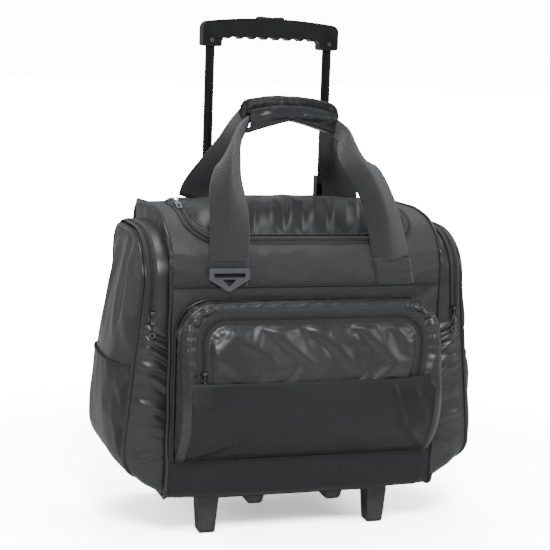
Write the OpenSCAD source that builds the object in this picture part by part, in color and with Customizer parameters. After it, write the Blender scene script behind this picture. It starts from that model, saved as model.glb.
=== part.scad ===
// Soft-sided rolling flight case with carry handles, side pockets and a telescopic trolley.
// Millimetres. X runs across the front, Y from front to back, Z up from the floor.
// Modules are drawn with the plane of the front panel at y = 0 and are then set back by place().

/* [Bag body] */
// Width across the two side seams
body_w = 360; // [350:1:370]
// Depth from the front panel to the back panel
body_d = 228; // [226:1:232]
// Height of the top above the floor
body_top = 420; // [418:1:422]
// Height of the underside above the floor
body_base = 59; // [59:0.5:60]
// How far back the rounded front shoulder reaches
shoulder_d = 120; // [110:1:130]
// How far down the rounded front shoulder reaches
shoulder_h = 70; // [64:1:76]
// Thickness of the padded panels
panel_t = 4; // [3:0.5:4]
// Radius of the cord in the piped seams
piping_r = 2.2; // [1.6:0.1:2.6]

/* [Lid] */
// Half width of the lid
lid_half_w = 146; // [140:1:148]
// Distance of the lid's front edge behind the front panel
lid_front = 22; // [20:1:30]
// Distance of the lid's hinge fold behind the front panel
lid_back = 168; // [160:1:169]
// Corner radius of the lid, seen from above
lid_corner = 30; // [20:1:40]
// Height the soft lid stands above the top
lid_crown = 10; // [4:1:12]
// Width of the zip tape around the lid
lid_tape = 10; // [8:1:12]

/* [Front pocket] */
// Half width of the front pocket
pocket_half_w = 170; // [165:1:172]
// Height of the pocket's bottom seam
pocket_z0 = 108; // [104:1:112]
// Height of the pocket's top seam
pocket_z1 = 311; // [305:1:318]
// Greatest depth of the front pocket
pocket_depth = 41; // [36:1:42]
// Depth of the front pocket at its top edge
pocket_top_depth = 20; // [16:1:24]
// Height where the pocket is deepest
pocket_knee = 193; // [185:1:200]
// Height of the slip pocket's open edge
slip_top = 216; // [210:1:220]
// Opening of the slip pocket's mouth
slip_gap = 4.6; // [4.2:0.1:5]
// Half width of the part of the slip pocket that stands open
slip_half_w = 125; // [110:1:130]

/* [Side pockets] */
// How far a side pocket stands out from the side seam
side_out = 67; // [60:1:70]
// How far out the piped edge of a side pocket lies
side_edge = 32; // [30:1:34]
// How much further out the piping of a side pocket stands at its foot
side_flare = 20; // [0:1:24]

/* [Carry handles] */
// Width of the carry webbing
strap_w = 51; // [48:1:52]
// Thickness of the carry webbing
strap_t = 2.6; // [2:0.1:3]
// Distance of each front strap from the middle
front_strap_x = 108; // [104:1:112]
// Distance of each rear strap from the middle
rear_strap_x = 104; // [100:1:108]
// Width of the hand wrap
wrap_w = 120; // [110:1:120]
// Height of the middle of the hand wrap
wrap_z = 540; // [538:1:542]

/* [Trolley] */
// Distance of each trolley tube from the middle
tube_x = 84.1; // [82:0.1:86]
// Distance of the tubes behind the front panel
tube_y = 211; // [210:0.5:212]
// Radius of the inner tubes
inner_r = 6.5; // [6.3:0.1:6.5]
// Height of the tops of the middle tubes above the floor
middle_top = 443; // [440:1:446]
// Height of the tops of the inner tubes above the floor
inner_top = 640; // [638:1:642]
// Rise of the pull grip from its ends to its middle
grip_arch = 5; // [3:1:8]

/* [Running gear] */
// Radius of the wheels
wheel_r = 27; // [26:0.5:27]
// Width of the tyres
wheel_w = 22; // [20:1:22]
// Distance of each wheel from the middle
wheel_x = 117; // [112:1:118]
// Distance of the wheels behind the front panel
wheel_y = 215; // [213:1:217]
// Radius of the wheel axles
axle_r = 3; // [2.5:0.1:3]
// Distance of each front foot from the middle
foot_x = 116.7; // [114:0.1:118]
// Distance of the front feet behind the front panel
foot_y = 44; // [44:1:48]

/* [Hidden] */

$fn = 48;
half_w = body_w / 2;
inner_x = half_w - panel_t;
shoulder_z = body_top - shoulder_h;
back_r = 10;
base_r = 15;
mid_back_y = 197;
pocket_slope = (pocket_depth - pocket_top_depth) / (pocket_z1 - pocket_knee);
slip_t = 1.6;
slip_z0 = 112;
slip_half_end = 168;
front_reach = pocket_depth + slip_gap + slip_t;
front_y = -(wheel_y + wheel_r - front_reach) / 2;
seam_z = 331;
strap_foot_z = 366;
gap = 0.3;

// Front pocket zip: outer and inner edge of the U of tape
zip_half_w = 153;
zip_top = 302;
zip_tape = 16;
zip_t = 1.5;
zip_corner = 35;
zip_base = slip_top + 0.5;

// Side pocket zip tape, measured out from the side seam
side_tape_in = 16;
side_tape_out = 29;
side_zip_z = 285;
side_zip_t = 1.2;
side_slider_x = half_w + 22.5;
side_slider_y = 5.9;
side_slider_z = 295;

// Sliders and pulls
slider_w = 9;
slider_t = 4;
slider_l = 12;
pull_pin_r = 0.8;
pull_eye_r = 1.9;
pull_bore_r = 0.86;
pull_pin_out = 2;
pull_len = 28;
front_slider_x = -145;
front_slider_z = 225;
lid_slider_x = -(lid_half_w + 5.6);
lid_slider_z = 421.5;
lid_slider_front_y = 108;
lid_slider_rear_y = 126;
lid_tab_len = 24;

// Carry rings for a shoulder strap
ring_pin_z = 352;
ring_pin_out = 4.1;
ring_pin_r = 1.3;
ring_w = 52;
ring_t = 2.8;
ring_front = 9.6;

// Trolley tubes
outer_w = 23;
outer_d = 20;
middle_w = 19;
middle_d = 16;
tube_wall = 1.2;
outer_z0 = 66;
bezel_z0 = 413;
bezel_z1 = 424;
middle_z0 = 108;
collar_h = 10;
inner_z0 = 285;
inner_wall = 1;
rod_r = 2;
rod_z0 = 270;
bar_z = 650;
bar_t = 4;
grip_half_w = 97;
grip_t = 22;
grip_leg_z = 628;
grip_top = 668;
grip_leg_in = 70;
grip_corner = 10;
button_half_w = 19;
button_t = 12;

// Running gear
plate_z0 = 49;
plate_half_w = 134;
plate_y0 = 28;
plate_y1 = 184;
rail_x = 54;
rail_w = 23;
rail_z0 = 36;
rail_y0 = 27;
rail_y1 = 180;
hub_r = 20;
wheel_gap = 1.5;
cheek_t = 3;
screw_spots = [for (x = [-90, 0, 90], y = [72, 160]) [x, y]];

// ---- shared shapes ----

function arc(cx, cy, rx, ry, a0, a1, n) =
    [for (i = [0:n]) let (a = a0 + (a1 - a0) * i / n) [cx + rx * cos(a), cy + ry * sin(a)]];

// Side outline of a bag part: rounded base, tight back corner, long rounded front shoulder
function side_profile(y0, y1, z0, z1, front_d, front_h, top_r, low_r) = concat(
    arc(y0 + low_r, z0 + low_r, low_r, low_r, 180, 270, 4),
    arc(y1 - low_r, z0 + low_r, low_r, low_r, 270, 360, 4),
    arc(y1 - top_r, z1 - top_r, top_r, top_r, 0, 90, 5),
    arc(y0 + front_d, z1 - front_h, front_d, front_h, 90, 180, 14));

function body_profile(inset) = side_profile(inset, body_d - inset, body_base + inset, body_top - inset,
    shoulder_d - inset, shoulder_h - inset, back_r - inset, base_r - inset);

// Height of the body's outer surface over a point on the shoulder or top
function top_height(y) = y >= shoulder_d ? body_top
    : shoulder_z + shoulder_h * sqrt(1 - pow((shoulder_d - y) / shoulder_d, 2));

// Rectangle with its two far corners rounded
function tab_outline(half, v0, v1, r) = concat([[-half, v0], [half, v0]],
    arc(half - r, v1 - r, r, r, 0, 90, 6), arc(-half + r, v1 - r, r, r, 90, 180, 6));

function unit(v) = v / norm(v);

module place() translate([0, front_y, 0]) children();

module block(lo, hi) translate(lo) cube(hi - lo);

// Side outline pushed across from x0 to x1
module slab(x0, x1, outline) translate([x0, 0, 0]) rotate([90, 0, 90]) linear_extrude(x1 - x0) polygon(outline);

// Front outline pushed back from y0 to y1
module face(y0, y1, outline) translate([0, y1, 0]) rotate([90, 0, 0]) linear_extrude(y1 - y0) polygon(outline);

module on_side(s) mirror([s < 0 ? 1 : 0, 0, 0]) children();

module both_sides() for (s = [-1, 1]) on_side(s) children();

// Skin through a row of rings, each with its points counter-clockwise about the way forward
module loft(rings, closed = false) {
    n = len(rings);
    m = len(rings[0]);
    last = closed ? n - 1 : n - 2;
    sides = [for (i = [0:last], k = [0:m - 1]) let (
        a = i * m + k, b = i * m + (k + 1) % m, j = (i + 1) % n, c = j * m + k, d = j * m + (k + 1) % m)
        each (k % 4 == 2 ? [[a, c, b], [b, c, d]] : [[a, c, d], [a, d, b]])];
    caps = closed ? [] : [[for (k = [0:m - 1]) k], [for (k = [m - 1:-1:0]) (n - 1) * m + k]];
    polyhedron([for (ring = rings) each ring], concat(sides, caps));
}

// Round cord along a path that stays square to the given axis
module cord(path, r, axis, closed = false, count = 8) {
    n = len(path);
    loft([for (i = [0:n - 1]) let (
        back = path[closed ? (i + n - 1) % n : max(i - 1, 0)],
        ahead = path[closed ? (i + 1) % n : min(i + 1, n - 1)],
        t = unit(ahead - back), s = unit(cross(t, axis)), u = cross(s, t))
        [for (k = [0:count - 1]) let (a = 360 * k / count) path[i] + r * (cos(a) * u + sin(a) * s)]], closed);
}

// Flat strap through stations of [middle, half width vector]
module strap(stations) {
    n = len(stations);
    loft([for (i = [0:n - 1]) let (
        p = stations[i][0], w = stations[i][1],
        way = stations[min(i + 1, n - 1)][0] - stations[max(i - 1, 0)][0],
        t = strap_t / 2 * unit(cross(way, w)))
        [p - w - t, p + w - t, p + w + t, p - w + t]]);
}

// Rectangular tube standing on z0
module square_tube(w, d, wall, z0, z1) translate([-w / 2, -d / 2, z0]) difference() {
    cube([w, d, z1 - z0]);
    translate([wall, wall, -1]) cube([w - 2 * wall, d - 2 * wall, z1 - z0 + 2]);
}

// ---- bag body ----

module body_shell() difference() {
    slab(-inner_x, inner_x, body_profile(0));
    slab(-inner_x - 1, inner_x + 1, body_profile(panel_t));
}

module side_panel(s) color("#2a2b2e") place() on_side(s) slab(inner_x, half_w, body_profile(0));

module left_side_panel() side_panel(-1);

module right_side_panel() side_panel(1);

module front_panel() color("#2c2e31") place() intersection() {
    body_shell();
    block([-half_w, -1, body_base - 1], [half_w, base_r, shoulder_z]);
}

module bottom_board() color("#26282a") place() difference() {
    intersection() {
        body_shell();
        block([-half_w, base_r, body_base - 1], [half_w, body_d - base_r, body_base + 20]);
    }
    screw_holes();
}

// The back wraps over the top edge, and is cut away where the trolley bezel sits
module back_panel() color("#26282a") place() difference() {
    intersection() {
        body_shell();
        union() {
            block([-half_w, body_d - base_r, body_base - 1], [half_w, body_d + 1, body_top + 1]);
            block([-half_w, mid_back_y, shoulder_z], [half_w, body_d + 1, body_top + 1]);
        }
    }
    block([-107, mid_back_y - 1, 400], [107, body_d - panel_t, body_top + 10]);
}

module lid_plan(grow, front_grow) translate([0, 0, shoulder_z]) linear_extrude(body_top)
    mirror([0, 1]) translate([0, -lid_back - 0.5])
        polygon(tab_outline(lid_half_w + grow, 0, lid_back + 0.5 - lid_front + front_grow, lid_corner + grow));

module top_panel() color("#2a2b2e") place() difference() {
    intersection() {
        body_shell();
        block([-half_w, -1, shoulder_z], [half_w, mid_back_y, body_top + 1]);
    }
    lid_plan(0.6, 1.5);
}

module divider_board() color("#3a3a3c") place()
    block([-inner_x, 190, body_base + panel_t], [inner_x, 193, body_top - panel_t]);

module body_piping() color("#1c1d1f") place() for (s = [-1, 1])
    cord([for (p = body_profile(0)) [s * half_w, p[0], p[1]]], piping_r, [1, 0, 0], closed = true, count = 6);

// ---- lid ----

module lid_panel() color("#303236") place() intersection() {
    slab(-lid_half_w, lid_half_w, concat(
        [for (i = [0:12]) let (y = lid_front + (lid_back - lid_front) * i / 12)
            [y, top_height(y - 0.01) - panel_t * (y < 60 ? 1.3 : 1)]],
        [for (i = [12:-1:0]) let (y = lid_front + (lid_back - lid_front) * i / 12)
            [y, top_height(y) + lid_crown * sin(15 * i)]]));
    translate([0, 0, shoulder_z]) linear_extrude(body_top) mirror([0, 1]) translate([0, -lid_back])
        polygon(tab_outline(lid_half_w, 0, lid_back - lid_front, lid_corner));
}

module lid_zip() color("#1a1b1c") place() intersection() {
    difference() {
        slab(-inner_x, inner_x, body_profile(-zip_t));
        slab(-inner_x - 1, inner_x + 1, body_profile(0));
    }
    difference() {
        lid_plan(0.6 + lid_tape, 1.5 + lid_tape);
        translate([0, 0, -1]) scale([1, 1, 1.1]) lid_plan(0.6, 1.5);
    }
    block([-half_w, 0, shoulder_z], [half_w, lid_back, body_top + 5]);
}

// ---- front pocket ----

function pocket_out(z) = z >= pocket_knee ? pocket_depth - pocket_slope * (z - pocket_knee)
    : pocket_depth * (1 - pow((pocket_knee - z) / (pocket_knee - pocket_z0), 2.4));

function pocket_curve(grow, z0, z1, n) =
    [for (i = [0:n]) let (z = z0 + (z1 - z0) * i / n) [-pocket_out(z) - grow, z]];

module pocket_form(grow) slab(-pocket_half_w, pocket_half_w, concat(
    [[0, pocket_z0]], pocket_curve(grow, pocket_z0, pocket_knee, 12), [[-pocket_top_depth - grow, pocket_z1], [0, pocket_z1]]));

module front_pocket() color("#35373b") place() intersection() {
    pocket_form(0);
    face(-front_reach, 0, tab_outline(pocket_half_w, pocket_z0, pocket_z1, 40));
}

module front_pocket_piping() color("#1c1d1f") place()
    cord([for (p = concat([for (i = [0:7]) [pocket_half_w, pocket_z0 + 8 + 20 * i]],
            arc(pocket_half_w - 40, pocket_z1 - 40, 40, 40, 0, 90, 6),
            arc(-pocket_half_w + 40, pocket_z1 - 40, 40, 40, 90, 180, 6),
            [for (i = [7:-1:0]) [-pocket_half_w, pocket_z0 + 8 + 20 * i]]))
        [p[0], -pocket_out(p[1]), p[1]]], piping_r, [0, 1, 0], count = 6);

module zip_outline(inset) face(-front_reach, 0,
    tab_outline(zip_half_w - inset, zip_base - inset, zip_top - inset, zip_corner - inset));

module front_pocket_zip() color("#1a1b1c") place() intersection() {
    difference() {
        pocket_form(zip_t);
        pocket_form(0);
    }
    difference() {
        zip_outline(0);
        translate([0, 1, 0]) scale([1, 1.1, 1]) zip_outline(zip_tape);
    }
}

// Open-topped pocket: flat at its two ends, and between them its free edge stands straight up and open
module front_slip_pocket() color("#2f3135") place() {
    n = 12;
    out = function (z) pocket_out(min(z, pocket_knee)) + slip_gap * min(1, (z - slip_z0) / 20);
    heights = [for (i = [0:n]) slip_z0 + (slip_top - slip_z0) * i / n];
    slab(-slip_half_w, slip_half_w, concat(
        [for (z = heights) [-out(z) - slip_t, z]],
        [for (i = [n:-1:0]) let (z = heights[i]) [-out(z), z]]));
    both_sides() slab(slip_half_w, slip_half_end, concat(
        [for (z = heights) [-pocket_out(z) - slip_t, z]],
        [for (i = [n:-1:0]) let (z = heights[i]) [-pocket_out(z), z]]));
}

// ---- side pockets ----

// Filled pocket: sewn to the side, flared towards its foot, and domed outside its piping
module side_form(grow) hull() {
    slab(half_w, half_w + 2, side_profile(6 - grow, 206 + grow, 62 - grow, 400 + grow, 95, 60, 40, 15));
    slab(half_w + side_edge - 1, half_w + side_edge,
        side_profile(10 - grow, 200 + grow, 74 - grow, 395 + grow, 86, 58, 40, 24));
    slab(half_w + side_edge + side_flare - 1, half_w + side_edge + side_flare, side_profile(10, 200, 90, 170, 38, 38, 38, 24));
    slab(half_w + side_out - 1, half_w + side_out, side_profile(50, 165, 114, 238, 40, 40, 40, 30));
}

// How far the piping stands out from the side seam at a height
function side_edge_out(z) = side_edge + (z > 132 ? side_flare * max(0, 337 - z) / 205 : z > 110 ? side_flare
    : side_flare - (110 - z) * 0.35);

module left_pocket() color("#33353a") place() on_side(-1) side_form(0);

module right_pocket() color("#33353a") place() on_side(1) side_form(0);

module side_pocket_piping() color("#1c1d1f") place() for (s = [-1, 1])
    cord([for (p = side_profile(10, 200, 86, 395, 86, 58, 40, 24)) [s * (half_w + side_edge_out(p[1])), p[0], p[1]]],
        piping_r, [1, 0, 0], closed = true, count = 6);

module side_zip(s) color("#1a1b1c") place() on_side(s) intersection() {
    difference() {
        side_form(side_zip_t);
        side_form(0);
    }
    block([half_w + side_tape_in, -5, side_zip_z], [half_w + side_tape_out, body_d, body_top]);
}

module left_pocket_zip() side_zip(-1);

module right_pocket_zip() side_zip(1);

// ---- zip sliders and pulls ----

// Slider facing -Y with its length along Z, base at y = 0, with ears and the pin of its pull
module slider() {
    block([-slider_w / 2, -slider_t, -slider_l / 2], [slider_w / 2, 0, slider_l / 2]);
    for (x = [-3.6, 2.8])
        block([x, -slider_t - pull_pin_out - 1.4, 1.2], [x + 0.8, -slider_t + 0.2, 5.4]);
    translate([-3.6, -slider_t - pull_pin_out, 3.6]) rotate([0, 90, 0]) cylinder(r = pull_pin_r, h = 7.2);
}

// Pull that hangs along -Z from its eye at the origin
module pull(length, end_r) difference() {
    union() {
        translate([-2.4, 0, 0]) rotate([0, 90, 0]) cylinder(r = pull_eye_r, h = 4.8);
        block([-1.5, -0.7, -length], [1.5, 0.7, -1.2]);
        translate([0, 0.7, -length * 0.45]) rotate([90, 0, 0]) cylinder(r = 2.7, h = 1.4);
        translate([0, 0.8, -length]) rotate([90, 0, 0]) cylinder(r = end_r, h = 1.6);
    }
    translate([-3, 0, 0]) rotate([0, 90, 0]) cylinder(r = pull_bore_r, h = 6);
    translate([0, 2, -length]) rotate([90, 0, 0]) cylinder(r = end_r - 1.8, h = 4);
}

// Broad flat pull of the lid sliders
module lid_tab() difference() {
    union() {
        translate([-2.4, 0, 0]) rotate([0, 90, 0]) cylinder(r = pull_eye_r, h = 4.8);
        block([-1.6, -0.7, -6], [1.6, 0.7, -1.2]);
        block([-3.5, -0.8, -lid_tab_len], [3.5, 0.8, -5]);
    }
    translate([-3, 0, 0]) rotate([0, 90, 0]) cylinder(r = pull_bore_r, h = 6);
    block([-1.5, -2, -lid_tab_len + 3], [1.5, 2, -lid_tab_len + 12]);
}

module at_front_slider() translate([front_slider_x, -pocket_out(front_slider_z) - zip_t - 0.5, front_slider_z])
    rotate([-atan(pocket_slope), 0, 0]) children();

module front_slider() color("#6f7174") place() at_front_slider() slider();

module front_pull() color("#6f7174") place() at_front_slider()
    translate([0, -slider_t - pull_pin_out, 3.6]) rotate([atan(pocket_slope) / 2, 0, 0]) pull(pull_len, 4);

module at_side_slider(s) on_side(s) translate([side_slider_x, side_slider_y, side_slider_z]) children();

module left_slider() color("#6f7174") place() at_side_slider(-1) slider();

module right_slider() color("#6f7174") place() at_side_slider(1) slider();

module side_pull(s) color("#6f7174") place() at_side_slider(s)
    translate([0, -slider_t - pull_pin_out, 3.6]) pull(pull_len, 4);

module left_pull() side_pull(-1);

module right_pull() side_pull(1);

// Lid sliders lie flat, nose to nose, so one is turned end for end
module at_lid_slider(y, turn) translate([lid_slider_x, y, lid_slider_z]) rotate([0, 0, turn]) rotate([-90, 0, 0]) children();

module lid_sliders() color("#a9abae") place() {
    at_lid_slider(lid_slider_front_y, 180) slider();
    at_lid_slider(lid_slider_rear_y, 0) slider();
}

module lid_pull(y, turn, droop) color("#a9abae") place() at_lid_slider(y, turn)
    translate([0, -slider_t - pull_pin_out, 3.6]) rotate([180 - droop, 0, 0]) lid_tab();

module lid_pull_front() lid_pull(lid_slider_front_y, 180, 18);

module lid_pull_rear() lid_pull(lid_slider_rear_y, 0, 11.5);

// ---- carry handles ----

// Webbing sewn flat to the bag, with a thicker fold where the free strap starts
module webbing_tabs() color("#3b3c40") place() {
    translate([-front_strap_x - strap_w / 2, 0, 0]) {
        block([0, -slip_t, seam_z], [strap_w, 0, 359]);
        block([0, -4.7, 359], [strap_w, 0, strap_foot_z]);
    }
    face(-slip_t, 0, [[92, seam_z], [141, seam_z], [135.4, 359], [86.4, 359]]);
    face(-4.7, 0, [[86.4, 359], [135.4, 359], [134, strap_foot_z], [85, strap_foot_z]]);
    both_sides() block([rear_strap_x - strap_w / 2, 172, body_top], [rear_strap_x + strap_w / 2, 195, body_top + slip_t]);
    block([rear_strap_x - strap_w / 2, body_d, seam_z], [rear_strap_x + strap_w / 2, body_d + slip_t, strap_foot_z]);
}

// The right front strap is sewn in at a slant and leans in all the way up
module front_webbing() color("#3b3c40") place() {
    strap([
        [[-front_strap_x, -3.4, strap_foot_z], [strap_w / 2, 0, 0]],
        [[-front_strap_x, -3.4, 424], [strap_w / 2, 0, 0]],
        [[-111, -3, 446], [22.5, 0, 0]],
        [[-109.5, 2, 466], [19, 1, -1]],
        [[-105, 12, 486], [14, -2, -3]],
        [[-95, 36, 506], [8, -5, -6]],
        [[-80, 64, 522], [5, -5, -9]],
        [[-wrap_w / 2 - 4, 90, wrap_z - 7], [2, -4, -12]]]);
    strap([
        [[109.5, -3.4, strap_foot_z], [24.5, 0, 0]],
        [[108.5, -3.4, 371], [24.5, 0, 0]],
        [[102, -3.4, 398], [23, 0, 0]],
        [[96.5, -3, 424], [21.5, 0, 0]],
        [[89, 0, 446], [21, 0, 0]],
        [[79, 5, 468], [21, 0, 1]],
        [[68, 16, 488], [19, 2, 2]],
        [[64.5, 36, 504], [15, 3, 3]],
        [[66, 62, 520], [8, 4, 7]],
        [[wrap_w / 2 + 4, 90, wrap_z - 7], [2, 4, 12]]]);
}

module rear_webbing() color("#3b3c40") place() {
    strap([
        [[-rear_strap_x - 2, 183, body_top + slip_t], [strap_w / 2, 0, 0]],
        [[-rear_strap_x - 1, 183, 427], [strap_w / 2, 0, 0]],
        [[-93, 172, 451], [24.5, 0, -1]],
        [[-80, 160, 472], [21, 1, -3]],
        [[-69, 142, 500], [12, 3, -7]],
        [[-wrap_w / 2 - 4, 114, wrap_z - 7], [2, 4, -12]]]);
    strap([
        [[rear_strap_x - 2, 183, body_top + slip_t], [strap_w / 2, 0, 0]],
        [[rear_strap_x - 2, 183, 427], [strap_w / 2, 0, 0]],
        [[99.5, 178, 450], [strap_w / 2, 0, 0]],
        [[86, 160, 478], [20, -1, 3]],
        [[74, 142, 502], [13, -3, 7]],
        [[wrap_w / 2 + 4, 114, wrap_z - 7], [2, -4, 12]]]);
}

module grip_wrap() color("#202124") place() translate([-wrap_w / 2, 101, 0]) rotate([90, 0, 90]) linear_extrude(wrap_w) {
    translate([0, wrap_z + 3]) circle(20);
    translate([0, wrap_z - 7]) circle(16);
    polygon([[-20, wrap_z + 3], [-16, wrap_z - 7], [16, wrap_z - 7], [20, wrap_z + 3]]);
}

// Loop of webbing around the pin of a ring, at x, with its front towards the given side
module ring_place(x, s) translate([x, s < 0 ? 0 : body_d, 0]) mirror([0, s < 0 ? 0 : 1, 0]) children();

module ring_loop() translate([-20, -ring_pin_out, ring_pin_z]) rotate([0, 90, 0]) difference() {
    cylinder(r = 2.4, h = 40);
    translate([0, 0, -1]) cylinder(r = ring_pin_r + gap, h = 42);
}

module ring_loops() color("#3b3c40") place() {
    ring_place(-front_strap_x, -1) ring_loop();
    ring_place(rear_strap_x, 1) ring_loop();
}

// Triangular ring with a slot and a small eye, hung from a pin behind its top edge
module ring() {
    half = ring_w / 2;
    difference() {
        face(-ring_front, ring_t - ring_front, concat(
            arc(0, 329, 4, 3, 215, 325, 5), arc(half - 2, 342, 2, 2, -40, 0, 2), arc(half - 2, 353, 2, 2, 0, 90, 3),
            arc(2 - half, 353, 2, 2, 90, 180, 3), arc(2 - half, 342, 2, 2, 180, 220, 2)));
        block([-20, -ring_front - 1, 343.6], [20, ring_t, 348.8]);
        face(-ring_front - 1, ring_t, [[-8.5, 341], [0, 331.5], [8.5, 341]]);
    }
    for (x = [-half, half - 3]) block([x, -ring_front + ring_t - 0.1, 350], [x + 3, -ring_pin_out + ring_pin_r, 354]);
    translate([-half, -ring_pin_out, ring_pin_z]) rotate([0, 90, 0]) cylinder(r = ring_pin_r, h = ring_w);
}

module front_ring() color("#77797d") place() ring_place(-front_strap_x, -1) ring();

module rear_ring() color("#77797d") place() ring_place(rear_strap_x, 1) ring();

// ---- trolley ----

module at_tube(s) translate([s * tube_x, tube_y, 0]) children();

module outer_tube(s) color("#1e1f21") place() at_tube(s) square_tube(outer_w, outer_d, tube_wall, outer_z0, bezel_z0);

module left_outer_tube() outer_tube(-1);

module right_outer_tube() outer_tube(1);

module middle_tube(s) color("#121314") place() at_tube(s) square_tube(middle_w, middle_d, tube_wall, middle_z0, middle_top);

module left_middle_tube() middle_tube(-1);

module right_middle_tube() middle_tube(1);

module middle_collars() color("#202124") place() for (s = [-1, 1]) at_tube(s) difference() {
    block([-middle_w / 2, -middle_d / 2, middle_top], [middle_w / 2, middle_d / 2, middle_top + collar_h]);
    translate([0, 0, middle_top - 1]) cylinder(r = inner_r + 0.06, h = collar_h + 2);
}

module inner_tube(s) color("#121314") place() at_tube(s) difference() {
    translate([0, 0, inner_z0]) cylinder(r = inner_r, h = inner_top - inner_z0);
    translate([0, 0, inner_z0 - 1]) cylinder(r = inner_r - inner_wall, h = inner_top - inner_z0 + 2);
    grip_screw_hole();
}

module left_inner_tube() inner_tube(-1);

module right_inner_tube() inner_tube(1);

module tube_bezel() color("#202124") place() difference() {
    block([-105, 198, bezel_z0], [105, body_d - panel_t - gap, bezel_z1]);
    for (s = [-1, 1]) at_tube(s) block([-middle_w / 2 - gap, -middle_d / 2 - gap, bezel_z0 - 1],
        [middle_w / 2 + gap, middle_d / 2 + gap, bezel_z1 + 1]);
}

module tube_bracket() color("#202124") place() difference() {
    intersection() {
        block([-100, 198, body_base], [100, body_d, 80]);
        slab(-101, 101, body_profile(panel_t));
    }
    for (s = [-1, 1]) at_tube(s) block([-outer_w / 2, -outer_d / 2, outer_z0], [outer_w / 2, outer_d / 2, 81]);
    block([-68, 202, body_base + panel_t + 3], [68, 220, 81]);
}

// Height of the underside of the grip, with its row of finger grooves
function groove(x) = 638.8 + 3.6 * abs(sin(10.5 * (x + 60)));

module grip_outline() polygon(concat(
    [for (x = [-84:12:84]) [x, grip_top - grip_arch * pow(x / 84, 2)]],
    arc(grip_half_w - grip_corner, 652.4, grip_corner, grip_corner, 80, 0, 6),
    arc(grip_half_w - 3, grip_leg_z + 3, 3, 3, 0, -90, 3),
    arc(grip_leg_in + 3, grip_leg_z + 3, 3, 3, -90, -180, 3),
    [[grip_leg_in, 636], [68, 640], [64, 641]],
    [for (i = [35:-1:-35]) let (x = i * 60 / 35) [x, groove(x)]],
    [[-64, 641], [-68, 640], [-grip_leg_in, 636]],
    arc(-grip_leg_in - 3, grip_leg_z + 3, 3, 3, 0, -90, 3),
    arc(-grip_half_w + 3, grip_leg_z + 3, 3, 3, -90, -180, 3),
    arc(-grip_half_w + grip_corner, 652.4, grip_corner, grip_corner, 180, 100, 6)));

module grip_screw_hole() translate([0, 0, 636.5]) rotate([90, 0, 0]) cylinder(r = 1.2, h = grip_t);

module pull_grip() color("#141516") place() difference() {
    translate([0, tube_y + grip_t / 2, 0]) rotate([90, 0, 0]) linear_extrude(grip_t) grip_outline();
    for (s = [-1, 1]) at_tube(s) {
        translate([0, 0, grip_leg_z - 1]) cylinder(r = inner_r, h = inner_top - grip_leg_z + 1);
        translate([0, 0, inner_top - 1]) cylinder(r = rod_r + 0.6, h = 8);
        grip_screw_hole();
        translate([0, -grip_t / 2 + 1.2, 636.5]) rotate([90, 0, 0]) cylinder(r = 3, h = 3);
    }
    translate([0, tube_y, 0]) {
        block([-88.5, -3, bar_z - bar_t - 0.4], [88.5, 3, bar_z + bar_t + 0.4]);
        block([-button_half_w - 0.4, -button_t / 2 - 0.4, bar_z - 0.6], [button_half_w + 0.4, button_t / 2 + 0.4, 690]);
    }
}

module grip_screws() color("#8a8c8f") place() for (s = [-1, 1]) at_tube(s) translate([0, 0, 636.5]) rotate([90, 0, 0]) {
    translate([0, 0, inner_r - inner_wall]) cylinder(r = 1.2, h = 4.5);
    difference() {
        translate([0, 0, grip_t / 2 - 1.2]) cylinder(r = 2.9, h = 1);
        for (a = [0, 90]) rotate(a) translate([-1.8, -0.3, grip_t / 2 - 0.7]) cube([3.6, 0.6, 1]);
    }
}

module release_button() color("#232426") place() translate([0, tube_y + button_t / 2, 0]) rotate([90, 0, 0])
    linear_extrude(button_t) polygon(concat(
        [[button_half_w, bar_z + bar_t], [-button_half_w, bar_z + bar_t]],
        arc(-button_half_w + 3, grip_top, 3, 3, 180, 90, 3), [[0, grip_top + 2]],
        arc(button_half_w - 3, grip_top, 3, 3, 90, 0, 3)));

module push_rods() color("#a0a2a5") place() {
    for (s = [-1, 1]) at_tube(s) translate([0, 0, rod_z0]) cylinder(r = rod_r, h = bar_z - rod_z0);
    translate([0, tube_y, 0]) block([-87, -2.6, bar_z], [87, 2.6, bar_z + bar_t]);
}

// ---- running gear ----

module screw_holes() for (p = screw_spots) translate([p[0], p[1], plate_z0 - 1]) cylinder(r = 1.8, h = 20);

module base_plate() color("#2b2c2e") place() difference() {
    union() {
        block([-plate_half_w + 12, plate_y0, plate_z0], [plate_half_w - 12, plate_y1, body_base]);
        block([-plate_half_w, plate_y0 + 12, plate_z0], [plate_half_w, plate_y1 - 12, body_base]);
        for (s = [-1, 1], y = [plate_y0 + 12, plate_y1 - 12])
            translate([s * (plate_half_w - 12), y, plate_z0]) cylinder(r = 12, h = body_base - plate_z0);
    }
    screw_holes();
}

module base_screws() color("#8a8c8f") place() for (p = screw_spots) translate([p[0], p[1], 0]) {
    translate([0, 0, plate_z0 - 2]) cylinder(r = 4.5, h = 2);
    translate([0, 0, plate_z0]) cylinder(r = 1.8, h = body_base + panel_t - plate_z0);
}

// Tapered foot: its front and side outlines meet in one block with a flat sole
module foot(s) color("#2f3033") place() translate([s * foot_x, foot_y, 0]) intersection() {
    face(-20, 20, concat([[13.5, plate_z0], [-13.5, plate_z0]],
        arc(-7.5, 3, 3, 3, 180, 270, 4), arc(7.5, 3, 3, 3, 270, 360, 4)));
    slab(-20, 20, concat([[15, plate_z0], [-15, plate_z0]],
        arc(-6, 6, 6, 6, 180, 270, 5), arc(6, 6, 6, 6, 270, 360, 5)));
}

module left_foot() foot(-1);

module right_foot() foot(1);

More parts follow.
